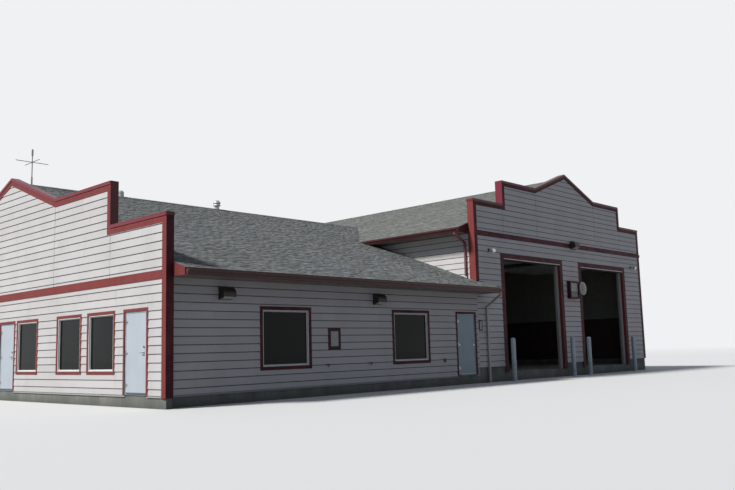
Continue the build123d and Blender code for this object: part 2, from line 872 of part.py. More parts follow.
def make_downspouts():
    """Downspouts at the front corners, repeated at the rear."""
    wall_y = -board_proud - spout_depth / 2 - spout_wall_gap
    edge = wing_roof_height(-eave_overhang) - gutter_drop - gutter_height
    x = hall_left + eave_past_corner - spout_from_gutter_end
    drop_x = hall_left + spout_past_corner
    trough_y = -eave_overhang - fascia_thickness - gutter_width * 0.4
    neck = edge - spout_neck
    wing_spout = spout([(x, trough_y, edge), (x, trough_y, neck),
                        (drop_x, wall_y, neck - spout_elbow_drop), (drop_x, wall_y, spout_foot)])
    edge = hall_roof_height(hall_left - hall_eave_overhang) - gutter_drop - gutter_height
    x = hall_left - hall_eave_overhang - fascia_thickness - gutter_width * 0.4
    y = hall_front_thickness + hall_spout_setback
    drop_x = hall_left - flashing_thickness - spout_depth / 2 - spout_wall_gap - board_proud
    foot = wing_roof_height(y) + hall_spout_foot
    neck = edge - spout_neck
    hall_spout = spout([(x, y, edge), (x, y, neck), (drop_x, y, neck - hall_spout_elbow_drop),
                        (drop_x, y, foot)])
    shapes["downspouts"] = group([wing_spout, mirror_back(wing_spout), hall_spout,
                                  mirror_back(hall_spout)])


def make_lamps():
    """Hooded wall lamps on the long wall and the belt, and round flood lamps beside the bays."""
    soffit = wing_roof_height(-eave_overhang) - eave_box_height
    base = soffit - wall_lamp_below_soffit - wall_lamp_height
    lamps = [wall_lamp(window - before, base)
             for window, before in zip(front_window_lefts, wall_lamp_before_window)]
    belt_lamp = wall_lamp(first_bay_right + belt_lamp_from_bay, hall_belt_bottom - belt_lamp_below_belt)
    lamps.append(Pos(0, -board_proud, 0) * belt_lamp)
    shapes["wall_lamps"] = group(lamps)
    piers = ((hall_left, first_bay_left), (second_bay_right, hall_right))
    shapes["flood_lamps"] = group([flood_lamp((x0 + x1) / 2 - flood_lamp_shift) for x0, x1 in piers])


def wall_lamp(x, z):
    """A quarter-round housing on a back plate."""
    w = wall_lamp_width
    h = wall_lamp_height
    d = wall_lamp_depth
    side = Plane((x, 0, 0), x_dir=(0, -1, 0), z_dir=(-1, 0, 0))
    outline = Polyline((0, z), (0, z + h), (d * 0.45, z + h)) + ThreePointArc(
        (d * 0.45, z + h), (d * 0.88, z + h * 0.75), (d, z + h * 0.38)) + Polyline(
        (d, z + h * 0.38), (d, z + h * 0.24), (0, z))
    return extrude(side * make_face(outline.edges()), amount=w, dir=(1, 0, 0))


def flood_lamp(x):
    """A bell-shaped head on a short arm with a round wall box."""
    z = bay_head + flood_lamp_above_bay
    base = bar_along_y(x, -30, 0, z, 55)
    arm = bar_along_y(x, -150, -20, z, 14)
    wide = flood_lamp_radius
    bell = Pos(0, 0, 20) * Cone(wide, wide * 0.55, 90) + Pos(0, 0, -45) * Cylinder(wide, 40)
    head = Pos(x + 40, -190, z - 30) * Rot(-60, 0, 20) * bell
    return base + arm + head


def make_fittings():
    """Plates, taps, the pier box and the round mirror."""
    first_window, second_window = front_window_lefts
    after_first = first_window + front_window_width
    w, z, h = sign_plate_size
    x = after_first + sign_plate_past_window
    plates = [block(x, x + w, -plate_thickness, 0, z, z + h)]
    w, z, h = door_plate_size
    x = hall_left + door_plate_past_corner
    plates.append(block(x, x + w, -plate_thickness, 0, z, z + h))
    w, z, h = pier_box_size
    x = first_bay_right + pier_box_from_bay
    d = pier_box_depth
    frame = pier_box_frame
    box = block(x, x + w, -d, 0, z, z + h)
    box -= block(x + frame, x + w - frame, -d - 1, -d + 40, z + frame, z + h - frame)
    plates.append(box)
    shapes["wall_plates"] = group(plates)
    shapes["round_mirror"] = round_mirror(first_bay_right + mirror_from_bay, mirror_height)
    taps = [hose_tap(after_first + tap_past_first_window),
            hose_tap(second_window - tap_before_second_window)]
    x = side_door_left - outlet_before_door
    z = outlet_height
    taps.append(block(x - 40, x + 40, -45, 0, z - 60, z + 60))
    shapes["wall_taps"] = group(taps)


def round_mirror(x, z):
    """A shallow domed face in a round rim, with its arm and wall foot."""
    rim = mirror_radius
    arm = 24
    foot = 50
    stages = ((0, 0.92), (10, 1.0), (26, 0.95), (46, 0.68), (62, 0.3))
    mirror = bar_along_y(x, -mirror_reach - 5, 0, z, arm) + bar_along_y(x, -12, 0, z, foot)
    facing = Pos(x, -mirror_reach, z) * Rot(90, 0, 0)
    for (low, wide), (high, narrow) in zip(stages, stages[1:]):
        ring = Cone(rim * wide, rim * narrow, high - low)
        mirror += facing * Pos(0, 0, (low + high) / 2) * ring
    return mirror


def hose_tap(x):
    """A tap body with a round handle."""
    z = hose_tap_height
    body = bar_along_y(x, -90, 0, z, 16)
    spout_pipe = post(x, -78, z - 70, z, 13)
    wheel = bar_along_y(x, -110, -98, z, 30)
    stem = bar_along_y(x, -100, -85, z, 7)
    return body + spout_pipe + wheel + stem


def make_bollards():
    """Round steel posts with domed tops, one in front of each bay jamb."""
    jambs = (first_bay_left, first_bay_right, second_bay_left, second_bay_right)
    posts = []
    for jamb, shift in zip(jambs, bollard_shifts):
        shaft = post(jamb + shift, -bollard_setback, 0, bollard_height, bollard_radius)
        posts.append(chamfer(shaft.edges().group_by(Axis.Z)[-1], bollard_dome))
    shapes["bollards"] = group(posts)


def make_ridge_items():
    """The antenna, the vent cap and the flue, seated on the wing's ridge."""
    y = mid_depth
    ridge = wing_ridge_height
    roof = wing_volume(0, hall_left)
    top = ridge + antenna_height
    mast = post(antenna_x, y, ridge - 60, top, 16)
    thick = post(antenna_x, y, ridge - 60, ridge + 260, 26)
    tip = post(antenna_x, y, top - 220, top - 30, 30)
    half = antenna_boom_length / 2
    level = ridge + antenna_boom_lift
    booms = bar_along_x(antenna_x - half, antenna_x + half, y, level, 11)
    booms += bar_along_y(antenna_x, y - half, y + half, level, 11)
    shapes["antenna"] = (mast + thick + tip + booms) - roof
    top = ridge + vent_height
    vent = post(vent_x, y, ridge - 80, top - 170, vent_radius * 0.62)
    for i in range(2):
        z = top - 190 + i * 95
        vent += Pos(vent_x, y, z + 35) * Cone(vent_radius, vent_radius * 0.8, 70)
        vent += post(vent_x, y, z + 60, z + 100, vent_radius * 0.6)
    pipe = post(flue_x, y, ridge - 80, ridge + flue_height, flue_radius)
    pipe = chamfer(pipe.edges().group_by(Axis.Z)[-1], flue_radius * 0.4)
    shapes["ridge_vents"] = group([vent - roof, pipe - roof])


make_foundation()
make_hall_plinth()
make_wing_facade()
make_wing_walls()
make_hall_walls()
make_wing_roof()
make_hall_roof()
make_eaves()
make_ceilings()
make_cap_trim()
make_casings()
make_corner_boards()
make_windows()
make_doors()
make_bays()
make_downspouts()
make_lamps()
make_fittings()
make_bollards()
make_ridge_items()

# The part's origin is under the middle of everything, on the floor
everything = Compound([s for shape in shapes.values() for s in shape.solids()]).bounding_box()
to_origin = Pos(-everything.center().X, -everything.center().Y, -everything.min.Z)
os.makedirs("parts", exist_ok=True)
for node, shape in shapes.items():
    solids = shape.solids()
    whole = solids[0] if len(solids) == 1 else Compound(solids)
    export_step(to_origin * whole, "parts/" + node + ".step")
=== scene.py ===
import math

import bmesh
import bpy
from mathutils import Matrix, Vector


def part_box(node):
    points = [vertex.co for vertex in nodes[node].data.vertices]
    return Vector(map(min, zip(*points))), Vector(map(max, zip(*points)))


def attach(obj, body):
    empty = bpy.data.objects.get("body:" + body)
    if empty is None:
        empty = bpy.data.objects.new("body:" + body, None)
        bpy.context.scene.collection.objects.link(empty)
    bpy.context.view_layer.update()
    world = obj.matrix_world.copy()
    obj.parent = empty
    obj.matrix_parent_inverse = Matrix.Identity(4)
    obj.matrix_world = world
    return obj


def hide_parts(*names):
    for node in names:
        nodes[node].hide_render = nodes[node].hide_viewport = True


# A small-town fire station: a low gabled wing with a stepped false front, and a taller
# hall with two vehicle bays behind a second one. Metres, +Z up, the front faces -Y.

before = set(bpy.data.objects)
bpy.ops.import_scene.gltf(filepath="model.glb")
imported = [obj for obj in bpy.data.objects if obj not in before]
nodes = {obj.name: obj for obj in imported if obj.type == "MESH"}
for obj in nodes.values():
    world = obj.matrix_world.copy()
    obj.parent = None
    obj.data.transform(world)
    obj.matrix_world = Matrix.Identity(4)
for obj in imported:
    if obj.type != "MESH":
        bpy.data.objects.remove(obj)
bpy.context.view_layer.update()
print("frame loaded:", len(nodes), "nodes")


def newObject(name, data):   # an object at the origin, in the scene
    thing = bpy.data.objects.new(name, data)
    bpy.context.scene.collection.objects.link(thing)
    return thing


camera = {   # where the photographer stood, and how the camera was held
    "place": (-23.139, -24.852, 1.213),
    "yaw": 0.812,      # radians, from straight back towards the right
    "pitch": 0.131,
    "roll": -0.027,
    "lens": 39.16,     # mm
    "sensor": 36,      # mm across
}


def setCamera():
    yaw, pitch, roll = camera["yaw"], camera["pitch"], camera["roll"]
    forward = Vector((math.sin(yaw) * math.cos(pitch), math.cos(yaw) * math.cos(pitch), math.sin(pitch)))
    right = Vector((math.cos(yaw), -math.sin(yaw), 0))
    up = right.cross(forward)
    leaningRight = math.cos(roll) * right + math.sin(roll) * up
    leaningUp = math.cos(roll) * up - math.sin(roll) * right
    data = bpy.data.cameras.new("camera")
    data.lens = camera["lens"]
    data.sensor_width = camera["sensor"]
    data.clip_end = 1000
    eye = newObject("camera", data)
    axes = Matrix((leaningRight, leaningUp, -forward)).transposed()
    eye.matrix_world = Matrix.Translation(camera["place"]) @ axes.to_4x4()
    bpy.context.scene.camera = eye


setCamera()
print("camera set")


# the building's planes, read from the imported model
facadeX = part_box("facade_walls")[0].x
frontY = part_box("wing_front_wall")[0].y
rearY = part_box("hall_wall_rear")[1].y
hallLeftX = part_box("hall_wall_left")[0].x
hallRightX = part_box("hall_wall_right")[1].x
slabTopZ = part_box("foundation")[1].z
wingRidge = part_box("wing_roof_front")[1]
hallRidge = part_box("hall_roof_left")[1]
roofPitch = 0.377   # rise over run
slopeAngle = math.atan(roofPitch)

# each wall has its own frame: x to the right seen from outside, y inwards, z up
wallFrames = {
    "front": Matrix.Translation((0, frontY, 0)),
    "facade": Matrix.Translation((facadeX, 0, 0)) @ Matrix.Rotation(-math.pi / 2, 4, "Z"),
    "rear": Matrix.Translation((0, rearY, 0)) @ Matrix.Rotation(math.pi, 4, "Z"),
    "right": Matrix.Translation((hallRightX, 0, 0)) @ Matrix.Rotation(math.pi / 2, 4, "Z"),
}
turnedWall = {"front": 0.0, "facade": -math.pi / 2, "rear": math.pi, "right": math.pi / 2}
spins = {side: Matrix.Rotation(angle, 4, "Z") for side, angle in turnedWall.items()}
outwards = {"front": Vector((0, -1, 0)), "facade": Vector((-1, 0, 0)), "rear": Vector((0, 1, 0)),
            "right": Vector((1, 0, 0))}


def boxOf(points):   # lowest and highest corners
    points = list(points)
    return (Vector([min(p[i] for p in points) for i in range(3)]),
            Vector([max(p[i] for p in points) for i in range(3)]))


def mergedCopy(name, within=1e-5):   # a CAD node's loose triangles, merged
    bm = bmesh.new()
    bm.from_mesh(nodes[name].data)
    bmesh.ops.remove_doubles(bm, verts=bm.verts, dist=within)
    return bm


def solidBoxes(name):   # the box of each separate solid in a CAD node, from left to right
    bm = mergedCopy(name)
    waiting = set(bm.verts)
    boxes = []
    while waiting:
        found = [waiting.pop()]
        for v in found:
            for other in (edge.other_vert(v) for edge in v.link_edges):
                if other in waiting:
                    waiting.discard(other)
                    found.append(other)
        boxes.append(boxOf(v.co for v in found))
    bm.free()
    return sorted(boxes, key=lambda b: (round(b[0].x, 3), round(b[0].y, 3), round(b[0].z, 3)))


def wallOf(box, near=0.3):   # which wall a fitting sits in
    if box[1].x < facadeX + near:
        return "facade"
    if box[0].y > rearY - near:
        return "rear"
    return "front"


def onWall(side, box):   # a box in its wall's own frame
    inverse = wallFrames[side].inverted()
    return boxOf(inverse @ corner for corner in box)


# nodes: one function adds them, in shader trees and in geometry trees
def linear(hexCode):   # sRGB hex to the linear colour that sockets take
    channels = [int(hexCode[i:i + 2], 16) / 255 for i in (0, 2, 4)]
    return tuple(c / 12.92 if c <= 0.04045 else ((c + 0.055) / 1.055) ** 2.4 for c in channels) + (1.0,)


def pick(sockets, key):   # a socket by its number, or the first enabled one of that name
    if isinstance(key, int):
        return sockets[key]
    return next(s for s in sockets if s.enabled and (key is None or s.name == key))


def feed(tree, node, inputs):   # sets inputs, colours by their hex, or links them from a node or a socket
    for key, value in inputs.items() if isinstance(inputs, dict) else enumerate(inputs):
        socket = pick(node.inputs, key)
        if isinstance(value, bpy.types.Node):
            value = pick(value.outputs, None)
        if isinstance(value, bpy.types.NodeSocket):
            tree.links.new(value, socket)
        else:
            socket.default_value = linear(value) if socket.type == "RGBA" else value


def add(tree, kind, inputs=(), **settings):   # a node with its settings, values and links
    node = tree.nodes.new(kind)
    for name, value in settings.items():
        setattr(node, name, value)
    feed(tree, node, inputs)
    return node


# materials
def newMaterial(name, roughness, metallic=0.0):   # with its tree and its shader
    material = bpy.data.materials.new(name)
    material.use_nodes = True
    tree = material.node_tree
    shader = next(n for n in tree.nodes if n.type == "BSDF_PRINCIPLED")
    feed(tree, shader, {"Roughness": roughness, "Metallic": metallic})
    return material, tree, shader


def patchy(t, place, size, low, high, most=1.0, stretch=(1, 1, 1), detail=3.0, least=0.0):
    # soft patches about that many millimetres across: least where the noise is under low, most over high
    spread = add(t, "ShaderNodeMapping", {"Vector": place, "Scale": stretch})
    noise = add(t, "ShaderNodeTexNoise", {"Vector": spread, "Scale": 1000 / size, "Detail": detail})
    return add(t, "ShaderNodeMapRange", {"Value": noise, "From Min": low, "From Max": high, "To Min": least,
                                         "To Max": most})


def coats(t, colour, *layers):   # a ground with other colours over it, each where its mask is
    for mask, over in layers:
        colour = add(t, "ShaderNodeMix", {"Factor": mask, "A": colour, "B": over}, data_type="RGBA")
    return colour


def dress(t, shader, colour, height, strength, depth, shine=0.25):   # colour, bump in mm, and how it shines
    normal = add(t, "ShaderNodeBump", {"Strength": strength, "Distance": depth / 1000, "Height": height})
    feed(t, shader, {"Base Color": colour, "Specular IOR Level": shine, "Normal": normal})


def courseMarks(t):   # what the courses' tree leaves on boards and shingles
    return [add(t, "ShaderNodeAttribute", attribute_name=name).outputs[output]
            for name, output in (("laid", "Vector"), ("tone", "Fac"), ("lap", "Fac"))]


def agedFinish(name, base, faded, dark, size=600, fade=0.5, grime=0.3, grain=6, stretch=(1, 1, 1),
               bump=0.1, depth=0.5, roughness=0.5, metallic=0.0, shine=0.5, toned=None):
    # fades in patches, darkens in rain streaks, and has a grain of so many millimetres
    material, t, shader = newMaterial(name, roughness, metallic)
    place = add(t, "ShaderNodeTexCoord").outputs["Object"]
    fine = patchy(t, place, grain, 0.3, 0.7, stretch=stretch, detail=4.0)
    colour = coats(t, toned(t, place) if toned else base,
                   (patchy(t, place, size, 0.42, 0.68, fade), faded),
                   (patchy(t, place, 90, 0.5, 0.78, grime, (1, 1, 0.06), 4.0), dark),
                   (add(t, "ShaderNodeMath", [fine, 0.10], operation="MULTIPLY"), dark))
    gloss = add(t, "ShaderNodeMapRange", {"Value": fine, "To Min": max(roughness - 0.08, 0.05),
                                          "To Max": roughness + 0.08})
    feed(t, shader, {"Roughness": gloss})
    dress(t, shader, colour, fine, bump, depth, shine)
    return material


def lapSidingPaint():   # satin oil paint on pressed hardboard: even, with a dark band under every lap that is painted shade of the butt above, with some dirt
    material, t, shader = newMaterial("satin_paint_on_lap_siding", 0.55)
    laid, tone, lap = courseMarks(t)
    ragged = patchy(t, laid, 40, 0.2, 0.6, 0.95, least=0.7)
    # the top of each board, just under the next butt, is darkened: painted shade of the lap above
    paintedShadeUnderLap = {"Value": lap, "From Min": 0.84, "From Max": 0.93, "To Max": ragged}
    paint = coats(t, "cfcbc8",
                  (add(t, "ShaderNodeMath", [tone, 0.14], operation="MULTIPLY"), "9a9490"),
                  (patchy(t, laid, 900, 0.45, 0.75, 0.16, (1, 1, 0.5)), "8f8a84"),
                  (patchy(t, laid, 60, 0.55, 0.8, 0.14, (1, 1, 0.05), 4.0), "8f8a84"),
                  (add(t, "ShaderNodeMapRange", paintedShadeUnderLap), "2f2a2b"))
    wood = patchy(t, laid, 5, 0.3, 0.7, 1.0, (0.05, 1, 1), 5.0)   # 1 mm grain, drawn at 5 mm so that it shows
    gloss = add(t, "ShaderNodeMapRange", {"Value": wood, "To Min": 0.46, "To Max": 0.64})
    feed(t, shader, {"Roughness": gloss})
    dress(t, shader, paint, wood, 0.25, 0.8)
    return material


def asphaltShingles(name, shades, streaked):   # dull mineral granules, each tab one of the shades
    material, t, shader = newMaterial(name, 0.93)
    laid, tone, lap = courseMarks(t)
    ramp = add(t, "ShaderNodeValToRGB", {"Fac": tone})
    ramp.color_ramp.interpolation = "CONSTANT"
    stops = ramp.color_ramp.elements
    while len(stops) < len(shades):
        stops.new(0.5)
    for i, shade in enumerate(shades):
        stops[i].position = i / len(shades)
        stops[i].color = linear(shade)
    grit = patchy(t, laid, 9, 0.35, 0.65, detail=2.0)   # 1.5 mm grit, drawn at 9 mm so that it shows
    # the top of each course, just under the butt above, is darkened: painted shade of the lap above
    paintedShadeUnderLap = {"Value": lap, "From Min": 0.85, "From Max": 0.98, "To Max": 0.7}
    granules = coats(t, ramp,
                     (add(t, "ShaderNodeMath", [grit, 0.35], operation="MULTIPLY"), shades[0]),
                     (patchy(t, laid, 110, 0.4, 0.65, 0.3), shades[4]),
                     (patchy(t, laid, 1300, 0.45, 0.75, streaked, (1, 1, 0.35)), "4d4f4a"),
                     (add(t, "ShaderNodeMapRange", paintedShadeUnderLap), "24261f"))
    dress(t, shader, granules, grit, 0.6, 2, 0.15)
    return material


def castConcrete():   # board-marked and splashed outside, floated and oil-stained on the floor
    material, t, shader = newMaterial("cast_concrete", 0.85)
    place = add(t, "ShaderNodeTexCoord").outputs["Object"]
    height = add(t, "ShaderNodeSeparateXYZ", {"Vector": place}).outputs["Z"]
    clouds = patchy(t, place, 600, 0.35, 0.7, detail=6.0)
    splash = add(t, "ShaderNodeMapRange", {"Value": height, "From Min": 0.2, "From Max": 0.0, "To Max": 0.6})
    side = coats(t, "70726b", (clouds, "8d8d84"),
                 (patchy(t, place, 120, 0.5, 0.8, 0.5, (1, 1, 0.08)), "4d5048"), (splash, "4d5048"))
    floor = coats(t, "77766f", (clouds, "8b8a83"),
                  (patchy(t, place, 850, 0.56, 0.66, 0.55, detail=4.0), "4b4843"))
    onFloor = add(t, "ShaderNodeMath", [height, slabTopZ, 0.002], operation="COMPARE")
    dress(t, shader, coats(t, side, (onFloor, floor)), patchy(t, place, 14, 0.3, 0.62, detail=6.0), 0.4, 2.5)
    return material


def wallPaint():   # flat paint inside: olive with a dark wainscot; the outer reveals are siding grey
    material, t, shader = newMaterial("flat_wall_paint", 0.8)
    place = add(t, "ShaderNodeTexCoord").outputs["Object"]
    split = add(t, "ShaderNodeSeparateXYZ", {"Vector": place}).outputs
    scuffs = patchy(t, place, 260, 0.45, 0.75, 0.4, detail=5.0)
    isHigh = add(t, "ShaderNodeMath", [split["Z"], 2.4], operation="GREATER_THAN")
    beyondX = add(t, "ShaderNodeMath", [split["X"], facadeX + 0.1], operation="LESS_THAN")
    beyondY = add(t, "ShaderNodeMath", [add(t, "ShaderNodeMath", [split["Y"]], operation="ABSOLUTE"),
                                        rearY - 0.1], operation="GREATER_THAN")
    outside = add(t, "ShaderNodeMath", [beyondX, beyondY], operation="MAXIMUM")
    wainscot = coats(t, "4b3a37", (scuffs, "2f2626"))
    upper = coats(t, "96948a", (scuffs, "7c7969"))
    dress(t, shader, coats(t, wainscot, (isHigh, upper), (outside, "aaa7a4")),
          patchy(t, place, 20, 0.3, 0.7), 0.2, 1)
    return material


def sealedGlass():   # dark tinted panes, near-mirror smooth and a little pillowed
    material, t, shader = newMaterial("tinted_sealed_glass", 0.04)
    place = add(t, "ShaderNodeTexCoord").outputs["Object"]
    colour = coats(t, "090d0c", (patchy(t, place, 1400, 0.35, 0.7), "151c1a"))
    dress(t, shader, colour, patchy(t, place, 900, 0.2, 0.8, detail=1.0), 0.3, 4, 0.12)
    return material


def boardCeiling():   # flat paint on boards that meet every 1220 mm
    material, t, shader = newMaterial("flat_paint_on_ceiling_boards", 0.85)
    place = add(t, "ShaderNodeTexCoord").outputs["Object"]
    across = add(t, "ShaderNodeSeparateXYZ", {"Vector": place}).outputs["X"]
    joint = add(t, "ShaderNodeMath", [across, 0.61], operation="PINGPONG")
    line = add(t, "ShaderNodeMapRange", {"Value": joint, "From Min": 0.03, "From Max": 0.0, "To Max": 0.35})
    colour = coats(t, "8a887d", (patchy(t, place, 900, 0.5, 0.8, 0.35), "5d5a4a"), (line, "5d5a4a"))
    feed(t, shader, {"Base Color": colour, "Specular IOR Level": 0.25})
    return material


def twoTone(source, axis, test, limit, plain, other):
    # a second colour where the surface's place or facing along an axis passes the test
    def toned(t, place):
        vector = place if source == "place" else add(t, "ShaderNodeNewGeometry").outputs["Normal"]
        part = add(t, "ShaderNodeSeparateXYZ", {"Vector": vector}).outputs[axis]
        return coats(t, plain, (add(t, "ShaderNodeMath", [part, limit], operation=test), other))
    return toned


def paintedSunAndShade(faded, deep):   # painted light and shade: faces towards the afternoon sun get a lighter, faded colour, the others a darker, shaded one
    return twoTone("facing", "X", "LESS_THAN", -0.5, deep, faded)


def dishPaint(t, place):   # a pale rim round a darker domed face
    low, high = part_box("round_mirror")
    middle = (low + high) / 2
    centred = add(t, "ShaderNodeMapping", {"Vector": place, "Location": (-middle.x, 0, -middle.z),
                                           "Scale": (1, 0, 1)})
    radius = add(t, "ShaderNodeVectorMath", [centred], operation="LENGTH").outputs["Value"]
    onRim = add(t, "ShaderNodeMath", [radius, (high.x - low.x) * 0.43], operation="GREATER_THAN")
    return coats(t, "8c887d", (onRim, "c2c0b8"))


def bollardPaint(t, place):   # pale blue over steel pipe, chipped to rust and splashed low down
    height = add(t, "ShaderNodeSeparateXYZ", {"Vector": place}).outputs["Z"]
    low = add(t, "ShaderNodeMapRange", {"Value": height, "From Min": 1.0, "From Max": 0.1})
    halfLow = add(t, "ShaderNodeMath", [low, 0.5], operation="MULTIPLY")
    return coats(t, "bccbd2", (patchy(t, place, 150, 0.3, 0.7, halfLow), "7b7d77"),
                 (patchy(t, place, 60, 0.60, 0.63, low, detail=5.0), "6b4a36"))


finish = {
    "siding": lapSidingPaint(),
    "wingShingles": asphaltShingles("asphalt_shingles_grey", (
        "5f6260", "6a6d6b", "727574", "7b7e7d", "848685", "656867", "73716d"), 0.25),
    "hallShingles": asphaltShingles("asphalt_shingles_sunned", (
        "666764", "71726e", "7a7b77", "83847f", "8d8e88", "6c6d69", "7c7972"), 0.18),
    "concrete": castConcrete(),
    "wallPaint": wallPaint(),
    "glass": sealedGlass(),
    "ceiling": boardCeiling(),
    # oil paint on sawn boards: matt, chalked pink in patches, grain along the height; soffits are grey
    # faces towards the sun are painted lighter and all others darker: painted light and shade
    "trim": agedFinish("barn_red_paint_on_boards", "7a3837", "8d4c47", "3a1a1b", 500, 0.35, 0.3, 6,
                       (1, 1, 0.2), 0.25, 0.8, 0.62, shine=0.15, toned=paintedSunAndShade("843f3d", "3b1822")),
    "eaves": agedFinish("barn_red_paint_on_eave_boards", "7a3837", "874742", "3a1a1b", 700, 0.4, 0.3, 6,
                        (0.2, 1, 1), 0.25, 0.8, 0.62, shine=0.15,
                        toned=twoTone("facing", "Z", "LESS_THAN", -0.5, "7a3837", "86837b")),
    # baked enamel on bent sheet: smoother and a shade deeper than the boards
    # faces towards the sun are painted lighter and all others darker: painted light and shade
    "metalTrim": agedFinish("red_enamel_on_sheet_metal", "742532", "843a41", "38131a", 900, 0.3, 0.3, 3,
                            roughness=0.42, shine=0.3, toned=paintedSunAndShade("7c2a38", "481621")),
    # brown-red enamel on roll-formed sheet, dusty at the lip
    "gutter": agedFinish("brown_enamel_on_gutters", "452526", "5d3838", "281314", 1100, 0.5, 0.3, 3,
                         roughness=0.4, shine=0.3),
    # the long downspouts match the siding, the short ones above match the trim
    "spout": agedFinish("enamel_on_downspouts", "b1aeab", "bdbab6", "6e6a66", 900, 0.2, 0.25, 3,
                        roughness=0.4, toned=twoTone("place", "Z", "GREATER_THAN", 3.6, "b1aeab", "742532")),
    "deck": agedFinish("grey_paint_on_roof_deck", "8d8a82", "a19e95", "5c5952", 900, 0.5, 0.3, 12,
                       roughness=0.75),
    # extruded vinyl: smooth with a soft gloss, a little chalked
    "vinyl": agedFinish("white_window_vinyl", "dbd8d4", "e9e6e2", "a8a49f", 400, 0.4, 0.25, 4,
                        bump=0.04, depth=0.2, roughness=0.38),
    "rubber": agedFinish("black_rubber_seal", "232221", "343331", "141312", 200, grain=3, roughness=0.75),
    # semi-gloss enamel on steel doors, rain-splashed and handled
    "sideDoor": agedFinish("blue_grey_enamel_on_steel", "7e98a4", "90a7b1", "5b6c74", 800, 0.5, 0.3, 4,
                           bump=0.05, depth=0.3, roughness=0.4),
    "paleDoor": agedFinish("white_enamel_on_steel", "b7bfc6", "c8cfd4", "899097", 800, 0.4, 0.12, 4,
                           bump=0.05, depth=0.3, roughness=0.4),
    "doorFrame": agedFinish("enamel_on_pressed_steel", "a9bac4", "bfccd3", "6f7d85", 500, 0.5, 0.3, 4,
                            bump=0.05, depth=0.3, roughness=0.45),
    # satin stainless: fine brushed lines along x, worn bright where hands reach
    "steel": agedFinish("satin_stainless_steel", "a3a19c", "bdbbb6", "6a6864", 60, 0.5, 0.3, 2,
                        (0.1, 1, 1), 0.05, 0.2, 0.32, 1.0),
    # hot-dip zinc gone dull, in grey spangles a few centimetres across
    "galvanised": agedFinish("dull_galvanised_sheet", "9a9d9d", "b7baba", "6c6f6f", 45, 0.7, 0.3, 12,
                             bump=0.08, depth=0.3, roughness=0.48, metallic=0.6),
    "lining": agedFinish("grey_paint_on_jamb_boards", "a9a89d", "bdbcb1", "6d6b62", 400, 0.5, 0.4, 5,
                         (1, 1, 0.2), roughness=0.65),
    # bronze powder coat: fine orange peel, dull sheen
    "bronze": agedFinish("bronze_powder_coat", "312c28", "463f39", "1c1816", 120, 0.5, 0.3, 2,
                         bump=0.15, depth=0.3, roughness=0.5, shine=0.3),
    # dark wall boxes and arms, and pale heads further than 0.105 m out
    "floodPaint": agedFinish("pale_enamel_on_lamp_heads", "312c28", "6f6b65", "2a2724", 120, 0.15, 0.2, 3,
                             roughness=0.45, shine=0.3,
                             toned=twoTone("place", "Y", "LESS_THAN", frontY - 0.105, "312c28", "d9d9d3")),
    # pressed prismatic glass over a bright reflector: it throws the daylight back
    "lens": agedFinish("prismatic_lamp_glass", "e6e8e3", "f2f3ef", "b9bbb4", 90, 0.5, 0.2, 5,
                       bump=0.3, depth=1.0, roughness=0.22, metallic=0.6),
    # moulded opal plastic gone dull: a soft gloss and no reflector behind it
    "opal": agedFinish("opal_lamp_plastic", "b9bab2", "c9cac3", "82837b", 90, 0.5, 0.3, 5, bump=0.1,
                       roughness=0.35, shine=0.4),
    "plateFace": agedFinish("pale_enamel_plate", "9d9e9c", "b3b4b1", "767570", 160, 0.5, 0.3, 3,
                            bump=0.05, depth=0.3, roughness=0.45),
    "plateDark": agedFinish("dark_enamel_plate", "3f4143", "57595b", "242526", 160, 0.5, 0.3, 3,
                            bump=0.05, depth=0.3, roughness=0.4),
    "plateFrame": agedFinish("maroon_paint_on_frame", "3c1b20", "522a2e", "240f13", 200, grain=4,
                             roughness=0.55, shine=0.15),
    "dish": agedFinish("chalked_enamel_on_spun_metal", "918d82", "b5b1a6", "6d6a60", 140, 0.4, 0.25, 3,
                       roughness=0.45, toned=dishPaint),
    "bollard": agedFinish("pale_blue_paint_on_pipe", "bccbd2", "d3dde1", "8d9698", 200, 0.35, 0.25, 5,
                          roughness=0.5, toned=bollardPaint),
    "brass": agedFinish("dull_bronze_casting", "41382d", "574c3e", "261f18", 20, 0.5, 0.4, 2,
                        bump=0.1, depth=0.3, roughness=0.5, metallic=0.5),
    "bayDoor": agedFinish("white_enamel_on_ribbed_steel", "c9c9c3", "dadad5", "8e8d85", 900, 0.5, 0.3, 3,
                          roughness=0.45),
    # aluminium darkened well below bare metal: painted shade, on the antenna and on the door sweeps' strips
    "aluminium": agedFinish("dull_aluminium_with_painted_shade", "7a7d7f", "93969a", "4f5153", 80, 0.5, 0.3, 2,
                            bump=0.05, depth=0.2, roughness=0.4, metallic=0.8),
    # galvanised caps that have gone chalky, darker in rain streaks
    "ventCap": agedFinish("chalky_galvanised_cap", "b0b3b0", "c9cbc8", "76797a", 120, 0.5, 0.4, 4,
                          roughness=0.55, metallic=0.3),
}
print("materials made:", len(finish))


# meshes and pieces
def addBox(bm, low, high, matrix=Matrix()):
    made = bmesh.ops.create_cube(bm, size=1.0)["verts"]
    for v in made:
        v.co = matrix @ Vector([a + (b - a) * (c + 0.5) for a, b, c in zip(low, high, v.co)])


def addPrism(bm, outline, along, caps=None):
    # an outline of points given by a function of the distance along, swept between two distances
    ends = [[bm.verts.new(corner) for corner in outline(distance)] for distance in along]
    count = len(ends[0])
    for i in range(count):
        j = (i + 1) % count
        bm.faces.new((ends[0][i], ends[0][j], ends[1][j], ends[1][i]))
    for end in ends:
        for cap in caps or (range(count),):
            bm.faces.new([end[i] for i in cap])


def flat(section, axis, matrix=Matrix()):   # an outline for addPrism: a flat section, set across an axis
    return lambda along: [matrix @ Vector((*spot[:axis], along, *spot[axis:])) for spot in section]


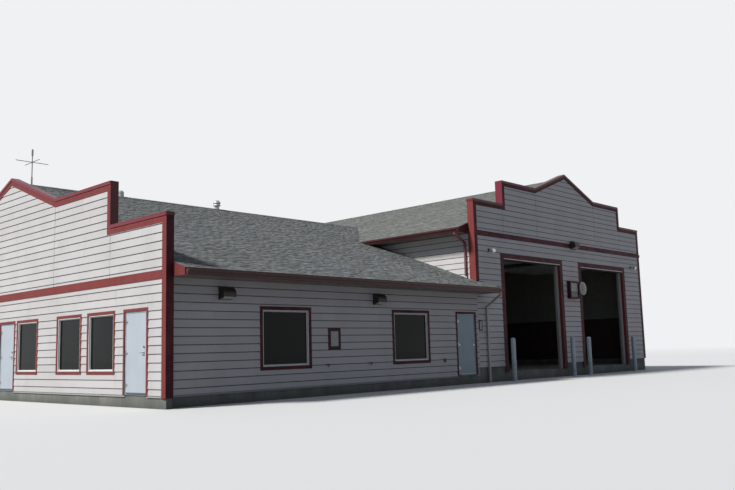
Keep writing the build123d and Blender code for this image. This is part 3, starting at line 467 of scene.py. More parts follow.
def addTurned(bm, profile, sides, matrix=Matrix(), hollow=False):
    # (radius, height) points turned about z; a hollow one closes on itself as a ring
    rings = []
    for radius, height in profile:
        turns = [2 * math.pi * i / sides for i in range(sides if radius else 1)]
        rings.append([bm.verts.new(matrix @ Vector((radius * math.cos(a), radius * math.sin(a), height)))
                      for a in turns])
    for lower, upper in zip(rings, rings[1:] + (rings[:1] if hollow else [])):
        for i in range(sides):
            corners = [lower[i % len(lower)], lower[(i + 1) % len(lower)],
                       upper[(i + 1) % len(upper)], upper[i % len(upper)]]
            bm.faces.new(list(dict.fromkeys(corners)))
    for ring in () if hollow else (rings[0], rings[-1]):
        if len(ring) > 2:
            bm.faces.new(ring)


def addRing(bm, low, high, profile, matrix=Matrix()):
    # a mitred frame round a rectangle in x and z: its section is a closed list of (inset, y) points
    rings = []
    for inset, y in profile:
        x0, z0, x1, z1 = low.x + inset, low.z + inset, high.x - inset, high.z - inset
        corners = ((x0, y, z0), (x1, y, z0), (x1, y, z1), (x0, y, z1))
        rings.append([bm.verts.new(matrix @ Vector(c)) for c in corners])
    for ring, following in zip(rings, rings[1:] + rings[:1]):
        for j in range(4):
            k = (j + 1) % 4
            bm.faces.new((ring[j], ring[k], following[k], following[j]))


def closeMesh(bm, name, bevel=0.0):   # faces outwards, bevelled if asked, as a mesh
    bmesh.ops.recalc_face_normals(bm, faces=bm.faces)
    if bevel:
        bmesh.ops.bevel(bm, geom=bm.edges[:], offset=bevel, segments=1, affect="EDGES", clamp_overlap=True)
    mesh = bpy.data.meshes.new(name)
    bm.to_mesh(mesh)
    bm.free()
    return mesh


def ship(made, name, key, body="root", bevel=0.0, replaced=()):
    # a finished mesh, or one still being built, becomes a piece in its finish on its body
    mesh = closeMesh(made, name, bevel) if isinstance(made, bmesh.types.BMesh) else made
    mesh.materials.clear()
    mesh.materials.append(finish[key])
    piece = newObject(name, mesh)
    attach(piece, body)
    if replaced:
        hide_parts(*replaced)


def joined(meshes, name):   # several meshes as one, with their attributes
    bm = bmesh.new()
    for mesh in meshes:
        bm.from_mesh(mesh)
    for face in bm.faces:
        face.material_index = 0
    whole = bpy.data.meshes.new(name)
    bm.to_mesh(whole)
    bm.free()
    return whole


def newTree(name, inputs):   # a geometry tree with named inputs and one output
    tree = bpy.data.node_groups.new(name, "GeometryNodeTree")
    for label, kind in inputs:
        tree.interface.new_socket(name=label, in_out="INPUT", socket_type="NodeSocket" + kind)
    tree.interface.new_socket(name="Made", in_out="OUTPUT", socket_type="NodeSocketGeometry")
    return tree, tree.nodes.new("NodeGroupInput").outputs


def endTree(tree, geometry, material):
    real = add(tree, "GeometryNodeRealizeInstances", {"Geometry": geometry})
    dressed = add(tree, "GeometryNodeSetMaterial", {"Geometry": real, "Material": material})
    feed(tree, tree.nodes.new("NodeGroupOutput"), [dressed])


def grow(tree, mesh, values):   # runs a tree on a mesh and gives back the plain mesh it makes
    holder = newObject("holder", mesh)
    modifier = holder.modifiers.new("tree", "NODES")
    modifier.node_group = tree
    for item in tree.interface.items_tree:
        value = values.get(item.name)
        if item.in_out == "INPUT" and value is not None:
            isVector = isinstance(value, (tuple, Vector))
            modifier[item.identifier] = [float(v) for v in value] if isVector else value
    graph = bpy.context.evaluated_depsgraph_get()
    made = bpy.data.meshes.new_from_object(holder.evaluated_get(graph), preserve_all_data_layers=True,
                                           depsgraph=graph)
    holder.modifiers.remove(modifier)
    bpy.data.objects.remove(holder)
    return made


def rowsOfPoints(tree, columns, rows):   # points for a grid, and each one's index, row and column
    total = add(tree, "ShaderNodeMath", [rows, columns], operation="MULTIPLY")
    index = add(tree, "GeometryNodeInputIndex")
    perRow = add(tree, "ShaderNodeMath", [add(tree, "ShaderNodeMath", [index, 0.5], operation="ADD"), columns],
                 operation="DIVIDE")
    row = add(tree, "ShaderNodeMath", [perRow], operation="FLOOR")
    column = add(tree, "ShaderNodeMath", [index, columns], operation="MODULO")
    return add(tree, "GeometryNodeMeshLine", {"Count": total}), index, row, column


def store(tree, geometry, *attributes):   # (name, value, type, domain) for each attribute to be kept
    for name, value, kind, domain in attributes:
        geometry = add(tree, "GeometryNodeStoreNamedAttribute", {
            "Geometry": geometry, "Name": name, "Value": value}, data_type=kind, domain=domain)
    return geometry


def makeCopiesTree():   # copies of a piece in rows and columns, each with its own tone
    tree, given = newTree("setOutCopies", (
        ("Geometry", "Geometry"), ("Start", "Vector"), ("Step", "Vector"), ("Count", "Int"),
        ("Row Step", "Vector"), ("Rows", "Int"), ("Turn", "Vector"), ("Seed", "Int"), ("Finish", "Material")))
    line, _, row, column = rowsOfPoints(tree, given["Count"], given["Rows"])
    along = add(tree, "ShaderNodeVectorMath", {0: given["Step"], "Scale": column}, operation="SCALE")
    across = add(tree, "ShaderNodeVectorMath", {0: given["Row Step"], "Scale": row}, operation="SCALE")
    spot = add(tree, "ShaderNodeVectorMath", [along, across], operation="ADD")
    spot = add(tree, "ShaderNodeVectorMath", [spot, given["Start"]], operation="ADD")
    points = add(tree, "GeometryNodeSetPosition", {"Geometry": line, "Position": spot})
    turn = add(tree, "FunctionNodeEulerToRotation", {"Euler": given["Turn"]})
    copies = add(tree, "GeometryNodeInstanceOnPoints", {"Points": points, "Instance": given["Geometry"],
                                                        "Rotation": turn})
    tone = add(tree, "FunctionNodeRandomValue", {"Seed": given["Seed"]}, data_type="FLOAT")
    toned = store(tree, copies, ("tone", tone, "FLOAT", "INSTANCE"))
    real = add(tree, "GeometryNodeRealizeInstances", {"Geometry": toned})
    place = add(tree, "GeometryNodeInputPosition")
    endTree(tree, store(tree, real, ("laid", place, "FLOAT_VECTOR", "POINT")), given["Finish"])
    return tree


copiesTree = makeCopiesTree()


def setOut(mesh, key, start, step, count, rowStep=(0, 0, 0), rows=1, turn=(0, 0, 0)):
    made = grow(copiesTree, mesh, {"Start": start, "Step": step, "Count": count, "Row Step": rowStep,
                                   "Rows": rows, "Turn": turn, "Seed": 5, "Finish": finish[key]})
    return joined([made], mesh.name)


def makeCoursesTree():
    # rows of boards or shingles clipped to a solid: x along the row, -y outwards, z climbing
    tree, given = newTree("layCourses", (
        ("Shape", "Geometry"), ("Keep Clear", "Object"), ("Course", "Float"), ("Butt", "Float"),
        ("Tip", "Float"), ("Length", "Float"), ("Gap", "Float"), ("Kept", "Float"), ("Rows", "Int"),
        ("Columns", "Int"), ("Seed", "Int"), ("Place", "Vector"), ("Turn", "Vector"), ("Finish", "Material")))
    course, length = given["Course"], given["Length"]
    apart, atMiddle, intoWall = 0.0005, 0.001, 0.02   # metres
    justAbove, manyColumns = 0.0002, 512.0            # keep each corner in its own row and column

    # one wedge, thick at its butt and thin at its tip, with its back pushed into the wall
    size = add(tree, "ShaderNodeCombineXYZ", {
        "X": add(tree, "ShaderNodeMath", [length, given["Gap"]], operation="SUBTRACT"), "Y": 1.0,
        "Z": add(tree, "ShaderNodeMath", [course, apart], operation="SUBTRACT")})
    cube = add(tree, "GeometryNodeMeshCube", {"Size": size})
    spot = add(tree, "ShaderNodeSeparateXYZ", {"Vector": add(tree, "GeometryNodeInputPosition")}).outputs
    front = add(tree, "ShaderNodeMapRange", {"Value": spot["Z"], "From Min": -atMiddle, "From Max": atMiddle,
                                             "To Min": given["Butt"], "To Max": given["Tip"]})
    isBack = add(tree, "ShaderNodeMath", [spot["Y"], 0.0], operation="GREATER_THAN")
    outFromWall = add(tree, "ShaderNodeMath", [0.0, front], operation="SUBTRACT")
    depth = add(tree, "ShaderNodeMix", {"Factor": isBack, "A": outFromWall, "B": intoWall}, data_type="FLOAT")
    wedgeSpot = add(tree, "ShaderNodeCombineXYZ", {"X": spot["X"], "Y": depth, "Z": spot["Z"]})
    wholeBoard = add(tree, "ShaderNodeCombineXYZ", {"X": length, "Z": course})
    halfBoard = add(tree, "ShaderNodeVectorMath", {0: wholeBoard, "Scale": 0.5}, operation="SCALE")
    wedge = add(tree, "GeometryNodeSetPosition", {"Geometry": cube, "Position": wedgeSpot, "Offset": halfBoard})

    # rows and columns of wedges, each row starting at its own stagger
    line, index, row, column = rowsOfPoints(tree, given["Columns"], given["Rows"])
    stagger = add(tree, "FunctionNodeRandomValue", {"ID": row, "Seed": given["Seed"]}, data_type="FLOAT")
    along = add(tree, "ShaderNodeMath", [add(tree, "ShaderNodeMath", [column, stagger], operation="SUBTRACT"),
                                         length], operation="MULTIPLY")
    climb = add(tree, "ShaderNodeMath", [row, course], operation="MULTIPLY")
    starts = add(tree, "GeometryNodeSetPosition", {
        "Geometry": line, "Position": add(tree, "ShaderNodeCombineXYZ", {"X": along, "Z": climb})})
    kept = add(tree, "FunctionNodeRandomValue", {
        "Probability": given["Kept"], "ID": index,
        "Seed": add(tree, "ShaderNodeMath", [given["Seed"], 7.0], operation="ADD")}, data_type="BOOLEAN")
    laid = add(tree, "GeometryNodeInstanceOnPoints", {"Points": starts, "Instance": wedge, "Selection": kept})
    turn = add(tree, "FunctionNodeEulerToRotation", {"Euler": given["Turn"]})
    turned = add(tree, "GeometryNodeTransform", {
        "Geometry": add(tree, "GeometryNodeRealizeInstances", {"Geometry": laid}),
        "Translation": given["Place"], "Rotation": turn})

    # clipped to the shape, then kept clear of what covers it
    clipped = add(tree, "GeometryNodeMeshBoolean", {1: turned}, operation="INTERSECT", solver="MANIFOLD")
    feed(tree, clipped, {1: given["Shape"]})
    clear = add(tree, "GeometryNodeObjectInfo", {"Object": given["Keep Clear"]}).outputs["Geometry"]
    cut = add(tree, "GeometryNodeMeshBoolean", {0: clipped, 1: clear}, operation="DIFFERENCE",
              solver="MANIFOLD")

    # each corner keeps its place in the row and its height on the board, each face its board's tone
    offset = add(tree, "ShaderNodeVectorMath", [add(tree, "GeometryNodeInputPosition"), given["Place"]],
                 operation="SUBTRACT")
    own = add(tree, "FunctionNodeRotateVector", {
        "Vector": offset, "Rotation": add(tree, "FunctionNodeInvertRotation", {"Rotation": turn})})
    part = add(tree, "ShaderNodeSeparateXYZ", {"Vector": own}).outputs
    climbed = add(tree, "ShaderNodeMath", [add(tree, "ShaderNodeMath", [part["Z"], justAbove],
                                               operation="ADD"), course], operation="DIVIDE")
    ownRow = add(tree, "ShaderNodeMath", [climbed], operation="FLOOR")
    ownStagger = add(tree, "FunctionNodeRandomValue", {"ID": ownRow, "Seed": given["Seed"]},
                     data_type="FLOAT")
    ownAlong = add(tree, "ShaderNodeMath", [part["X"], length], operation="DIVIDE")
    ownColumn = add(tree, "ShaderNodeMath", [add(tree, "ShaderNodeMath", [ownAlong, ownStagger],
                                                 operation="ADD")], operation="FLOOR")
    number = add(tree, "ShaderNodeMath", [ownRow, manyColumns, ownColumn], operation="MULTIPLY_ADD")
    tone = add(tree, "FunctionNodeRandomValue", {
        "ID": number, "Seed": add(tree, "ShaderNodeMath", [given["Seed"], 3.0], operation="ADD")},
        data_type="FLOAT")
    lap = add(tree, "ShaderNodeMath", [climbed], operation="FRACT")
    stored = store(tree, cut, ("laid", own, "FLOAT_VECTOR", "CORNER"), ("lap", lap, "FLOAT", "CORNER"),
                   ("tone", tone, "FLOAT", "FACE"))
    endTree(tree, stored, given["Finish"])
    return tree


coursesTree = makeCoursesTree()


def layCourses(shape, clear, sizes, side, lean, start, climb, run, seed, key):
    # rows over a slope or wall that climbs so far up and runs so far along
    return grow(coursesTree, shape, {
        **sizes, "Keep Clear": clear, "Rows": math.ceil(climb / sizes["Course"]),
        "Columns": math.ceil(run / sizes["Length"]) + 1, "Seed": seed, "Place": tuple(start),
        "Turn": (lean, 0.0, turnedWall[side]), "Finish": finish[key]})


def shiftedCopy(name, shift):   # a merged copy of a CAD solid, moved off the wall by its thickness
    bm = mergedCopy(name)
    bmesh.ops.translate(bm, verts=bm.verts, vec=shift)
    return closeMesh(bm, name + "_shape")


def houseShape(name, half, wallTop, reach, crestZ, near, far, matrix):
    # a gabled body with boxed eaves, half as wide each way of its middle, from near to far
    side = [(half, -1), (half, wallTop), (reach, wallTop), (reach, crestZ - roofPitch * reach)]
    outline = side + [(0, crestZ)] + [(-x, z) for x, z in reversed(side)]
    bm = bmesh.new()
    addPrism(bm, flat(outline, 1, matrix), (near, far))
    return newObject(name, closeMesh(bm, name))


def seamSlots(name, places, beltTop, ridgeZ, matrix):   # thin upright gaps in a false front's siding
    bm = bmesh.new()
    half, (out, inside) = siding["seam"], siding["seamDepth"]
    for place in places:
        for x in (-place, place):
            addBox(bm, (x - half, out, beltTop), (x + half, inside, ridgeZ + siding["overRidge"]), matrix)
    return newObject(name, closeMesh(bm, name))


siding = {
    # 8 in of each board shows, and boards are 12 ft long
    "boards": {"Course": 0.2032, "Butt": 0.016, "Tip": 0.004, "Length": 3.66, "Gap": 0.003, "Kept": 1.0},
    "wallThickness": 0.19,
    "hallFrontThickness": 0.25,
    "wingBase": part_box("wing_front_wall")[0].z,
    "hallBase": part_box("hall_front_piers")[0].z,
    "seam": 0.008,       # half the width of the upright joints, drawn wider so that they show
    "facadeSeams": (3.021, 6.158),
    "hallSeams": (2.3015, 4.5945),
    "facadeBeltTop": 3.213,
    "hallBeltTop": 5.304,
    "seamDepth": (-0.06, 0.03),
    "overRidge": 0.2,    # the false fronts' seams end this far above the ridges
    "inset": 0.01,       # what covers the courses starts this far inside the walls
    "wingReach": 3,      # and the wing's runs on this far into the hall
}
hallMiddleX = (hallLeftX + hallRightX) / 2
wingEaves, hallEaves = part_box("wing_eaves"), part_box("hall_eaves")
scratch = {   # what the courses are kept clear of
    "wing": houseShape("wing_body", -frontY, wingEaves[0].z, wingEaves[1].y, wingRidge.z,
                       facadeX + siding["inset"], hallLeftX + siding["wingReach"], spins["facade"]),
    "hall": houseShape("hall_body", hallRightX - hallMiddleX, hallEaves[0].z, hallEaves[1].x - hallMiddleX,
                       hallRidge.z, frontY + siding["inset"], rearY - siding["inset"],
                       Matrix.Translation((hallMiddleX, 0, 0))),
    "facadeSeams": seamSlots("facade_seams", siding["facadeSeams"], siding["facadeBeltTop"], wingRidge.z,
                             wallFrames["facade"]),
    "hallSeams": seamSlots("hall_seams", siding["hallSeams"], siding["hallBeltTop"], hallRidge.z,
                           wallFrames["front"] @ Matrix.Translation((hallMiddleX, 0, 0))),
}


def layBoards(names, side, faceAt, base, thickness, clear, seed):
    laid = []
    course = siding["boards"]["Course"]
    for name in names:
        shape = shiftedCopy(name, outwards[side] * thickness)
        low, high = boxOf(spins[side].inverted() @ v.co for v in shape.vertices)
        foot = base + math.floor((low.z - base) / course) * course
        start = spins[side] @ Vector((low.x, 0, 0))
        start = start - start.project(outwards[side]) + outwards[side] * faceAt
        laid.append(layCourses(shape, clear, siding["boards"], side, 0.0, (start.x, start.y, foot),
                               high.z - foot, high.x - low.x, seed, "siding"))
    return joined(laid, "boards")


def makeSiding():
    wing, hall = siding["wingBase"], siding["hallBase"]
    thin, thick = siding["wallThickness"], siding["hallFrontThickness"]
    walls = (
        ("facade_siding", ("facade_walls", "facade_false_front"), "facade", -facadeX, wing, thin,
         "facadeSeams"),
        ("facade_back_siding", ("facade_walls", "facade_false_front"), "right", facadeX + thin, wing, thin,
         "wing"),
        ("wing_front_siding", ("wing_front_wall", "side_door_lintel"), "front", -frontY, wing, thin, None),
        ("wing_rear_siding", ("wing_rear_wall",), "rear", rearY, wing, thin, None),
        ("hall_front_siding", ("hall_front_piers", "hall_false_front"), "front", -frontY, hall, thick,
         "hallSeams"),
        ("hall_back_siding", ("hall_false_front",), "rear", frontY + thick, hall, thick, "hall"),
        ("hall_left_siding", ("hall_wall_left",), "facade", -hallLeftX, hall, thin, "wing"),
        ("hall_right_siding", ("hall_wall_right",), "right", hallRightX, hall, thin, None),
        ("hall_rear_siding", ("hall_wall_left", "hall_wall_rear", "hall_wall_right"), "rear", rearY, hall,
         thin, None))
    for seed, (name, names, side, faceAt, base, thickness, clear) in enumerate(walls):
        mesh = layBoards(names, side, faceAt, base, thickness, scratch.get(clear), seed + 11)
        ship(mesh, name, "siding")
        print("  ", name, len(mesh.polygons), "faces")


makeSiding()
print("siding laid")


shingles = {
    # 5 5/8 in of each strip shows, and raised tabs lie on about half of the run
    "strips": {"Course": 0.143, "Butt": 0.006, "Tip": 0.001, "Length": 0.30, "Gap": 0.003, "Kept": 1.0},
    "tabs": {"Course": 0.143, "Butt": 0.012, "Tip": 0.006, "Length": 0.145, "Gap": 0.003, "Kept": 0.5},
    "above": 0.1,           # how far up the slopes' shingles are looked for
    "behindFront": 0.011,   # where the wing's shingles pass the hall's front corner
}


def aboveSlope(name, plan, ridge, axis):   # the space just above a slope, upright over its plan
    bm = bmesh.new()
    heights = [ridge.z - roofPitch * abs(spot[axis] - (ridge.x if axis == 0 else 0)) for spot in plan]
    addPrism(bm, lambda lift: [Vector((*spot, z + lift)) for spot, z in zip(plan, heights)],
             (0, shingles["above"]))
    return closeMesh(bm, name + "_shape")


def makeShingles():
    lean = slopeAngle - math.pi / 2
    (left, eave, _), (valleyEnd, crest, _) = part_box("wing_roof_front")
    past, corner = wingEaves[1].x, frontY + shingles["behindFront"]
    wingPlan = ((left, eave), (past, eave), (past, corner), (valleyEnd, corner), (valleyEnd, crest),
                (left, crest))
    slopes = (
        ("wing_roof_front", "front", "wingShingles", "hall", wingPlan),
        ("wing_roof_rear", "rear", "wingShingles", "hall", [(x, -y) for x, y in wingPlan]),
        ("hall_roof_left", "facade", "hallShingles", "wing", None),
        ("hall_roof_right", "right", "hallShingles", None, None))
    for seed, (name, side, key, clear, plan) in enumerate(slopes):
        nodeLow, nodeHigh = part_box(name)
        plan = plan or ((nodeLow.x, nodeLow.y), (nodeHigh.x, nodeLow.y), (nodeHigh.x, nodeHigh.y),
                        (nodeLow.x, nodeHigh.y))
        ridge, axis = (wingRidge, 1) if key == "wingShingles" else (hallRidge, 0)
        low, high = boxOf(spins[side].inverted() @ v.co for v in nodes[name].data.vertices)
        run = high.y - low.y
        start = spins[side] @ Vector((low.x, low.y, high.z - roofPitch * run))
        laid = [layCourses(aboveSlope(name, plan, ridge, axis), scratch.get(clear), shingles[layer], side, lean,
                           start, run / math.cos(slopeAngle), high.x - low.x, seed + firstSeed, key)
                for layer, firstSeed in (("strips", 31), ("tabs", 51))]
        mesh = joined(laid, name)
        ship(mesh, name + "_shingles", key)
        print("  ", name, len(mesh.polygons), "faces")


makeShingles()
for helper in scratch.values():
    bpy.data.objects.remove(helper)
print("shingles laid")


ridgeCaps = {"length": 0.3, "shown": 0.143, "halfWidth": 0.15, "thin": 0.004, "thick": 0.012, "sheet": 0.004,
             "lift": 0.008, "fromEdge": 0.005}


def ridgeCap():   # one bent cap, along x from the origin, thicker at its open end
    half, sheet = ridgeCaps["halfWidth"], ridgeCaps["sheet"]
    drop = half * roofPitch

    def outline(x):
        lift = ridgeCaps["thick"] if x == 0 else ridgeCaps["thin"]
        corners = ((-half, lift - drop), (0, lift), (half, lift - drop), (half, lift - drop - sheet),
                   (0, lift - sheet), (-half, lift - drop - sheet))
        return [Vector((x, y, z)) for y, z in corners]

    bm = bmesh.new()
    addPrism(bm, outline, (0, ridgeCaps["length"]), ((0, 1, 4, 5), (1, 2, 3, 4)))
    return closeMesh(bm, "ridge_cap")


def makeRidgeCaps():
    shown, length, lift = ridgeCaps["shown"], ridgeCaps["length"], ridgeCaps["lift"]
    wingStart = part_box("wing_roof_front")[0].x
    wingRun = hallRidge.x - (hallRidge.z - wingRidge.z) / roofPitch - wingStart
    ship(setOut(ridgeCap(), "wingShingles", (wingStart, 0, wingRidge.z + lift), (shown, 0, 0),
                int((wingRun - length) / shown)), "wing_ridge_caps", "wingShingles")
    low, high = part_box("hall_roof_left")
    ship(setOut(ridgeCap(), "hallShingles", (hallRidge.x, low.y + ridgeCaps["fromEdge"], hallRidge.z + lift),
                (0, shown, 0),
                int((high.y - low.y - length) / shown) + 1, turn=(0, 0, math.pi / 2)),
         "hall_ridge_caps", "hallShingles")


makeRidgeCaps()
print("ridges capped")


windowUnit = {   # closed sections as (inset from the frame's outer edge, depth behind the wall face)
    "section": ((0.001, 0.020), (0.001, -0.006), (0.005, -0.010), (0.030, -0.010), (0.034, -0.005),
                (0.036, 0.016), (0.046, 0.020), (0.052, 0.028), (0.052, 0.098), (0.001, 0.100)),
    "gasket": ((0.0505, 0.039), (0.058, 0.043), (0.058, 0.0465), (0.0505, 0.0465)),
}


def makeWindows():
    frames, gaskets = bmesh.new(), bmesh.new()
    for box in solidBoxes("window_frames"):
        side = wallOf(box)
        low, high = onWall(side, box)
        addRing(frames, low, high, windowUnit["section"], wallFrames[side])
        addRing(gaskets, low, high, windowUnit["gasket"], wallFrames[side])
    ship(frames, "window_frames_moulded", "vinyl", replaced=("window_frames",))
    ship(gaskets, "window_gaskets", "rubber")


makeWindows()
print("windows framed")


doorFittings = {
    "endGap": 0.004,       # the sweep stops this far short of the leaf's edges
    "sweep": (-0.005, 0.012, 0.009),   # its foot and top above the leaf's foot, and how far it stands proud
    "strip": (0.010, 0.040, 0.005),    # the same for the strip that holds it
    "cylinder": 0.017,     # the key cylinder's radius; it sits on the dead bolt's outer rose
    "cylinderProfile": ((1, 0), (1, 0.004), (0.8, 0.007), (0.75, 0.005), (0, 0.005)),   # shares of it, and up
    "fromEdge": 0.07,
    "height": 1.119,
    "boltReach": 0.02,
}


def makeDoorFittings():   # a rubber sweep with its steel strip, and a key cylinder, on each leaf
    radius, inset = doorFittings["cylinder"], doorFittings["endGap"]
    profile = [(radius * share, up) for share, up in doorFittings["cylinderProfile"]]
    for name in ("side_door", "near_door", "entrance_door", "far_door"):
        body = "root" if name == "far_door" else name   # the far one stays shut
        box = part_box(name)
        side = wallOf(box)
        low, high = onWall(side, box)
        for part, key, bevel in (("sweep", "rubber", 0), ("strip", "aluminium", 0.001)):
            foot, top, proud = doorFittings[part]
            bm = bmesh.new()
            addBox(bm, (low.x + inset, low.y - proud, low.z + foot), (high.x - inset, low.y, low.z + top),
                   wallFrames[side])
            ship(bm, name + ("_sweep" if part == "sweep" else "_sweep_strip"), key, body, bevel)
        plug = bmesh.new()
        spot = wallFrames[side] @ Matrix.Translation((high.x - doorFittings["fromEdge"],
                                                      low.y - doorFittings["boltReach"],
                                                      low.z + doorFittings["height"]))
        addTurned(plug, profile, 20, spot @ Matrix.Rotation(math.pi / 2, 4, "X"))
        ship(plug, name + "_key_cylinder", "brass", body)


makeDoorFittings()
print("doors fitted")


roofEdges = {"drop": 0.045, "proud": 0.029, "sheet": 0.003, "lap": 0.004, "bend": 0.001, "top": 0.05,
             "strap": 0.02, "strapInset": 0.002, "strapSheet": (-0.003, 0.001), "strapSpacing": 0.61,
             "firstStrap": 0.2, "lastStrap": 0.3}


def makeDripEdges():   # a bent metal edge over the fascia, under the first course, along every eave
    bm = bmesh.new()
    proud, drop, top, sheet, lap, bend = (
        roofEdges[key] for key in ("proud", "drop", "top", "sheet", "lap", "bend"))
    rise = top * roofPitch
    for name, side in (("wing_roof_front", "front"), ("wing_roof_rear", "rear"), ("hall_roof_left", "facade"),
                       ("hall_roof_right", "right")):
        spin = spins[side]
        spots = [spin.inverted() @ v.co for v in nodes[name].data.vertices]
        lowest = min(p.y for p in spots)
        edgeLow, edgeHigh = boxOf(p for p in spots if p.y < lowest + 0.01)
        outline = [(edgeLow.y + y, edgeHigh.z + z) for y, z in (
            (-proud, -drop), (-proud, lap), (top, lap + rise), (top, rise), (sheet - proud, bend),
            (sheet - proud, -drop))]
        addPrism(bm, flat(outline, 0, spin), (edgeLow.x, edgeHigh.x), ((0, 1, 4, 5), (1, 2, 3, 4)))
    ship(bm, "drip_edges", "gutter")


def makeGutterStraps():   # flat straps over the gutters' tops
    pieces = []
    half, spacing = roofEdges["strap"] / 2, roofEdges["strapSpacing"]
    inset, (under, over) = roofEdges["strapInset"], roofEdges["strapSheet"]
    for low, high in solidBoxes("gutters"):
        strap = bmesh.new()
        along = 0 if high.x - low.x > high.y - low.y else 1
        start = Vector((low.x + inset, low.y + inset, under))
        end = Vector((high.x - inset, high.y - inset, over))
        start[along], end[along] = -half, half
        addBox(strap, start, end)
        place, step = [0, 0, high.z], [0, 0, 0]
        place[along], step[along] = low[along] + roofEdges["firstStrap"], spacing
        count = max(int((high[along] - low[along] - roofEdges["lastStrap"]) / spacing), 1)
        pieces.append(setOut(closeMesh(strap, "strap"), "gutter", tuple(place), tuple(step), count))
    ship(joined(pieces, "straps"), "gutter_straps", "gutter")


makeDripEdges()
makeGutterStraps()
print("roof edges made")


bayDoorParts = {
    "stile": 0.05,        # stiffening stiles on each section's inner face
    "stileDepth": 0.022,
    "stiles": 5,
    "endGap": 0.004,      # stiles and hinges stop this far short
    "hingeLeaf": (0.055, 0.005),   # half its height, and its thickness
    "pin": (0.009, 0.006, 0.011),   # its radius, how far it stops short of the stile, and how low it hangs
    "roller": 0.023,
    "rollerProfile": ((0.8, -0.008), (1, -0.005), (1, 0.005), (0.8, 0.008)),   # shares of that radius
    "axle": ((0.005, 0), (0.005, 0.11)),
    "rollerOut": 0.020,   # beyond the section's end, past the track's sheet
    "rollerIn": 0.03,     # from the section's near edge
    "ribs": 6,            # on each section
    "ribDepth": 0.008,
    "ribInset": 0.01,
    "ribShare": (0.2, 0.7),   # where each rib starts and ends, as a share of their spacing
    "lining": 0.03,
    "strip": 0.075,       # pale weather strip along the lining's front edge
    "stripThick": 0.014,
    "stripBehind": 0.009,   # how far it reaches into the lining
    "stripProud": 0.006,
    "headOver": 0.012,    # how far the head strip laps over the casing's face, and stays off the lining's
    "headDeep": 0.03,
    "shadeSheetDrop": 0.008,    # how far the black sheet of painted shade shows under the head
}


def makeWeatherStrips():
    # pale vinyl strips up both jambs and along the head casing, and under each head a black rubber sheet that
    # is painted shade
    strips, shadeSheets = bmesh.new(), bmesh.new()
    lining, wide, thick, over, behind, deep = (
        bayDoorParts[key] for key in ("lining", "strip", "stripThick", "headOver", "stripBehind", "headDeep"))
    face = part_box("bay_casings")[0].y - bayDoorParts["stripProud"]
    for low, high in solidBoxes("bay_linings"):
        left, right, top = low.x + lining, high.x - lining, high.z - lining
        for x0, x1 in ((left - behind, left + thick), (right - thick, right + behind)):
            addBox(strips, (x0, low.y + 0.001, low.z + 0.004), (x1, low.y + wide, top + 0.0005))
        addBox(strips, (left - behind, face, top + over), (right + behind, face + deep, high.z + over))
        # a black sheet under each head: painted shade
        addBox(shadeSheets, (left + thick, face + 0.02, top - bayDoorParts["shadeSheetDrop"]),
               (right - thick, high.y - 0.004, top + 0.0005))
    ship(strips, "bay_weather_strips", "vinyl")
    ship(shadeSheets, "bay_head_seals", "rubber")


def makeBayDoors():   # ribbed skins, stiles, hinges and rollers of the raised sectional doors
    sections = solidBoxes("bay_doors_raised")
    stiles, hinges, rollers, ribs = [], [], [], []
    wide, under, count = bayDoorParts["stile"], bayDoorParts["stileDepth"], bayDoorParts["stiles"]
    (leaf, sheet), (pin, short, hangs) = bayDoorParts["hingeLeaf"], bayDoorParts["pin"]
    radius, gap, ribInset = bayDoorParts["roller"], bayDoorParts["endGap"], bayDoorParts["ribInset"]
    ribFoot, ribTop = bayDoorParts["ribShare"]
    for bayX in sorted({round(low.x, 3) for low, high in sections}):
        own = [box for box in sections if abs(box[0].x - bayX) < 0.01]
        low, high = own[0]
        depth = own[1][0].y - low.y
        step = (high.x - low.x - wide) / (count - 1)
        bm = bmesh.new()
        addBox(bm, (0, gap, -under), (wide, high.y - low.y - gap, 0))
        stiles.append(setOut(closeMesh(bm, "stile", 0.002), "bayDoor", tuple(low), (step, 0, 0), count,
                             (0, depth, 0), len(own)))
        bm = bmesh.new()
        addBox(bm, (gap, -leaf, -sheet), (wide - gap, leaf, 0))
        addTurned(bm, ((pin, 0), (pin, wide - 2 * short)), 10,
                  Matrix.Translation((short, 0, -hangs)) @ Matrix.Rotation(math.pi / 2, 4, "Y"))
        hinges.append(setOut(closeMesh(bm, "hinge"), "galvanised", (low.x, high.y + 0.002, low.z - under),
                             (step, 0, 0), count, (0, depth, 0), len(own) - 1))
        for x, side in ((low.x, -1), (high.x, 1)):
            bm = bmesh.new()
            addTurned(bm, [(radius * share, along) for share, along in bayDoorParts["rollerProfile"]], 16,
                      Matrix.Rotation(math.pi / 2, 4, "Y"))
            addTurned(bm, bayDoorParts["axle"], 8, Matrix.Rotation(-side * math.pi / 2, 4, "Y"))
            start = (x + side * bayDoorParts["rollerOut"], low.y + bayDoorParts["rollerIn"],
                     (low.z + high.z) / 2)
            rollers.append(setOut(closeMesh(bm, "roller"), "steel", start, (0, depth, 0), len(own)))
        bm = bmesh.new()
        rib = depth / bayDoorParts["ribs"]
        addBox(bm, (ribInset, rib * ribFoot, 0),
               (high.x - low.x - ribInset, rib * ribTop, bayDoorParts["ribDepth"]))
        ribs.append(setOut(closeMesh(bm, "rib", 0.003), "bayDoor", (low.x, low.y, high.z), (0, rib, 0),
                           bayDoorParts["ribs"] * len(own)))
    for meshes, name, key, slot in (
            (stiles, "bay_door_stiles", "bayDoor", "bay_door_paint"),
            (hinges, "bay_door_hinges", "galvanised", "galvanised"),
            (rollers, "bay_door_rollers", "steel", "galvanised"),
            (ribs, "bay_door_ribs", "bayDoor", "bay_door_paint")):
        ship(joined(meshes, name), name, key)


makeWeatherStrips()
makeBayDoors()
print("bay doors dressed")


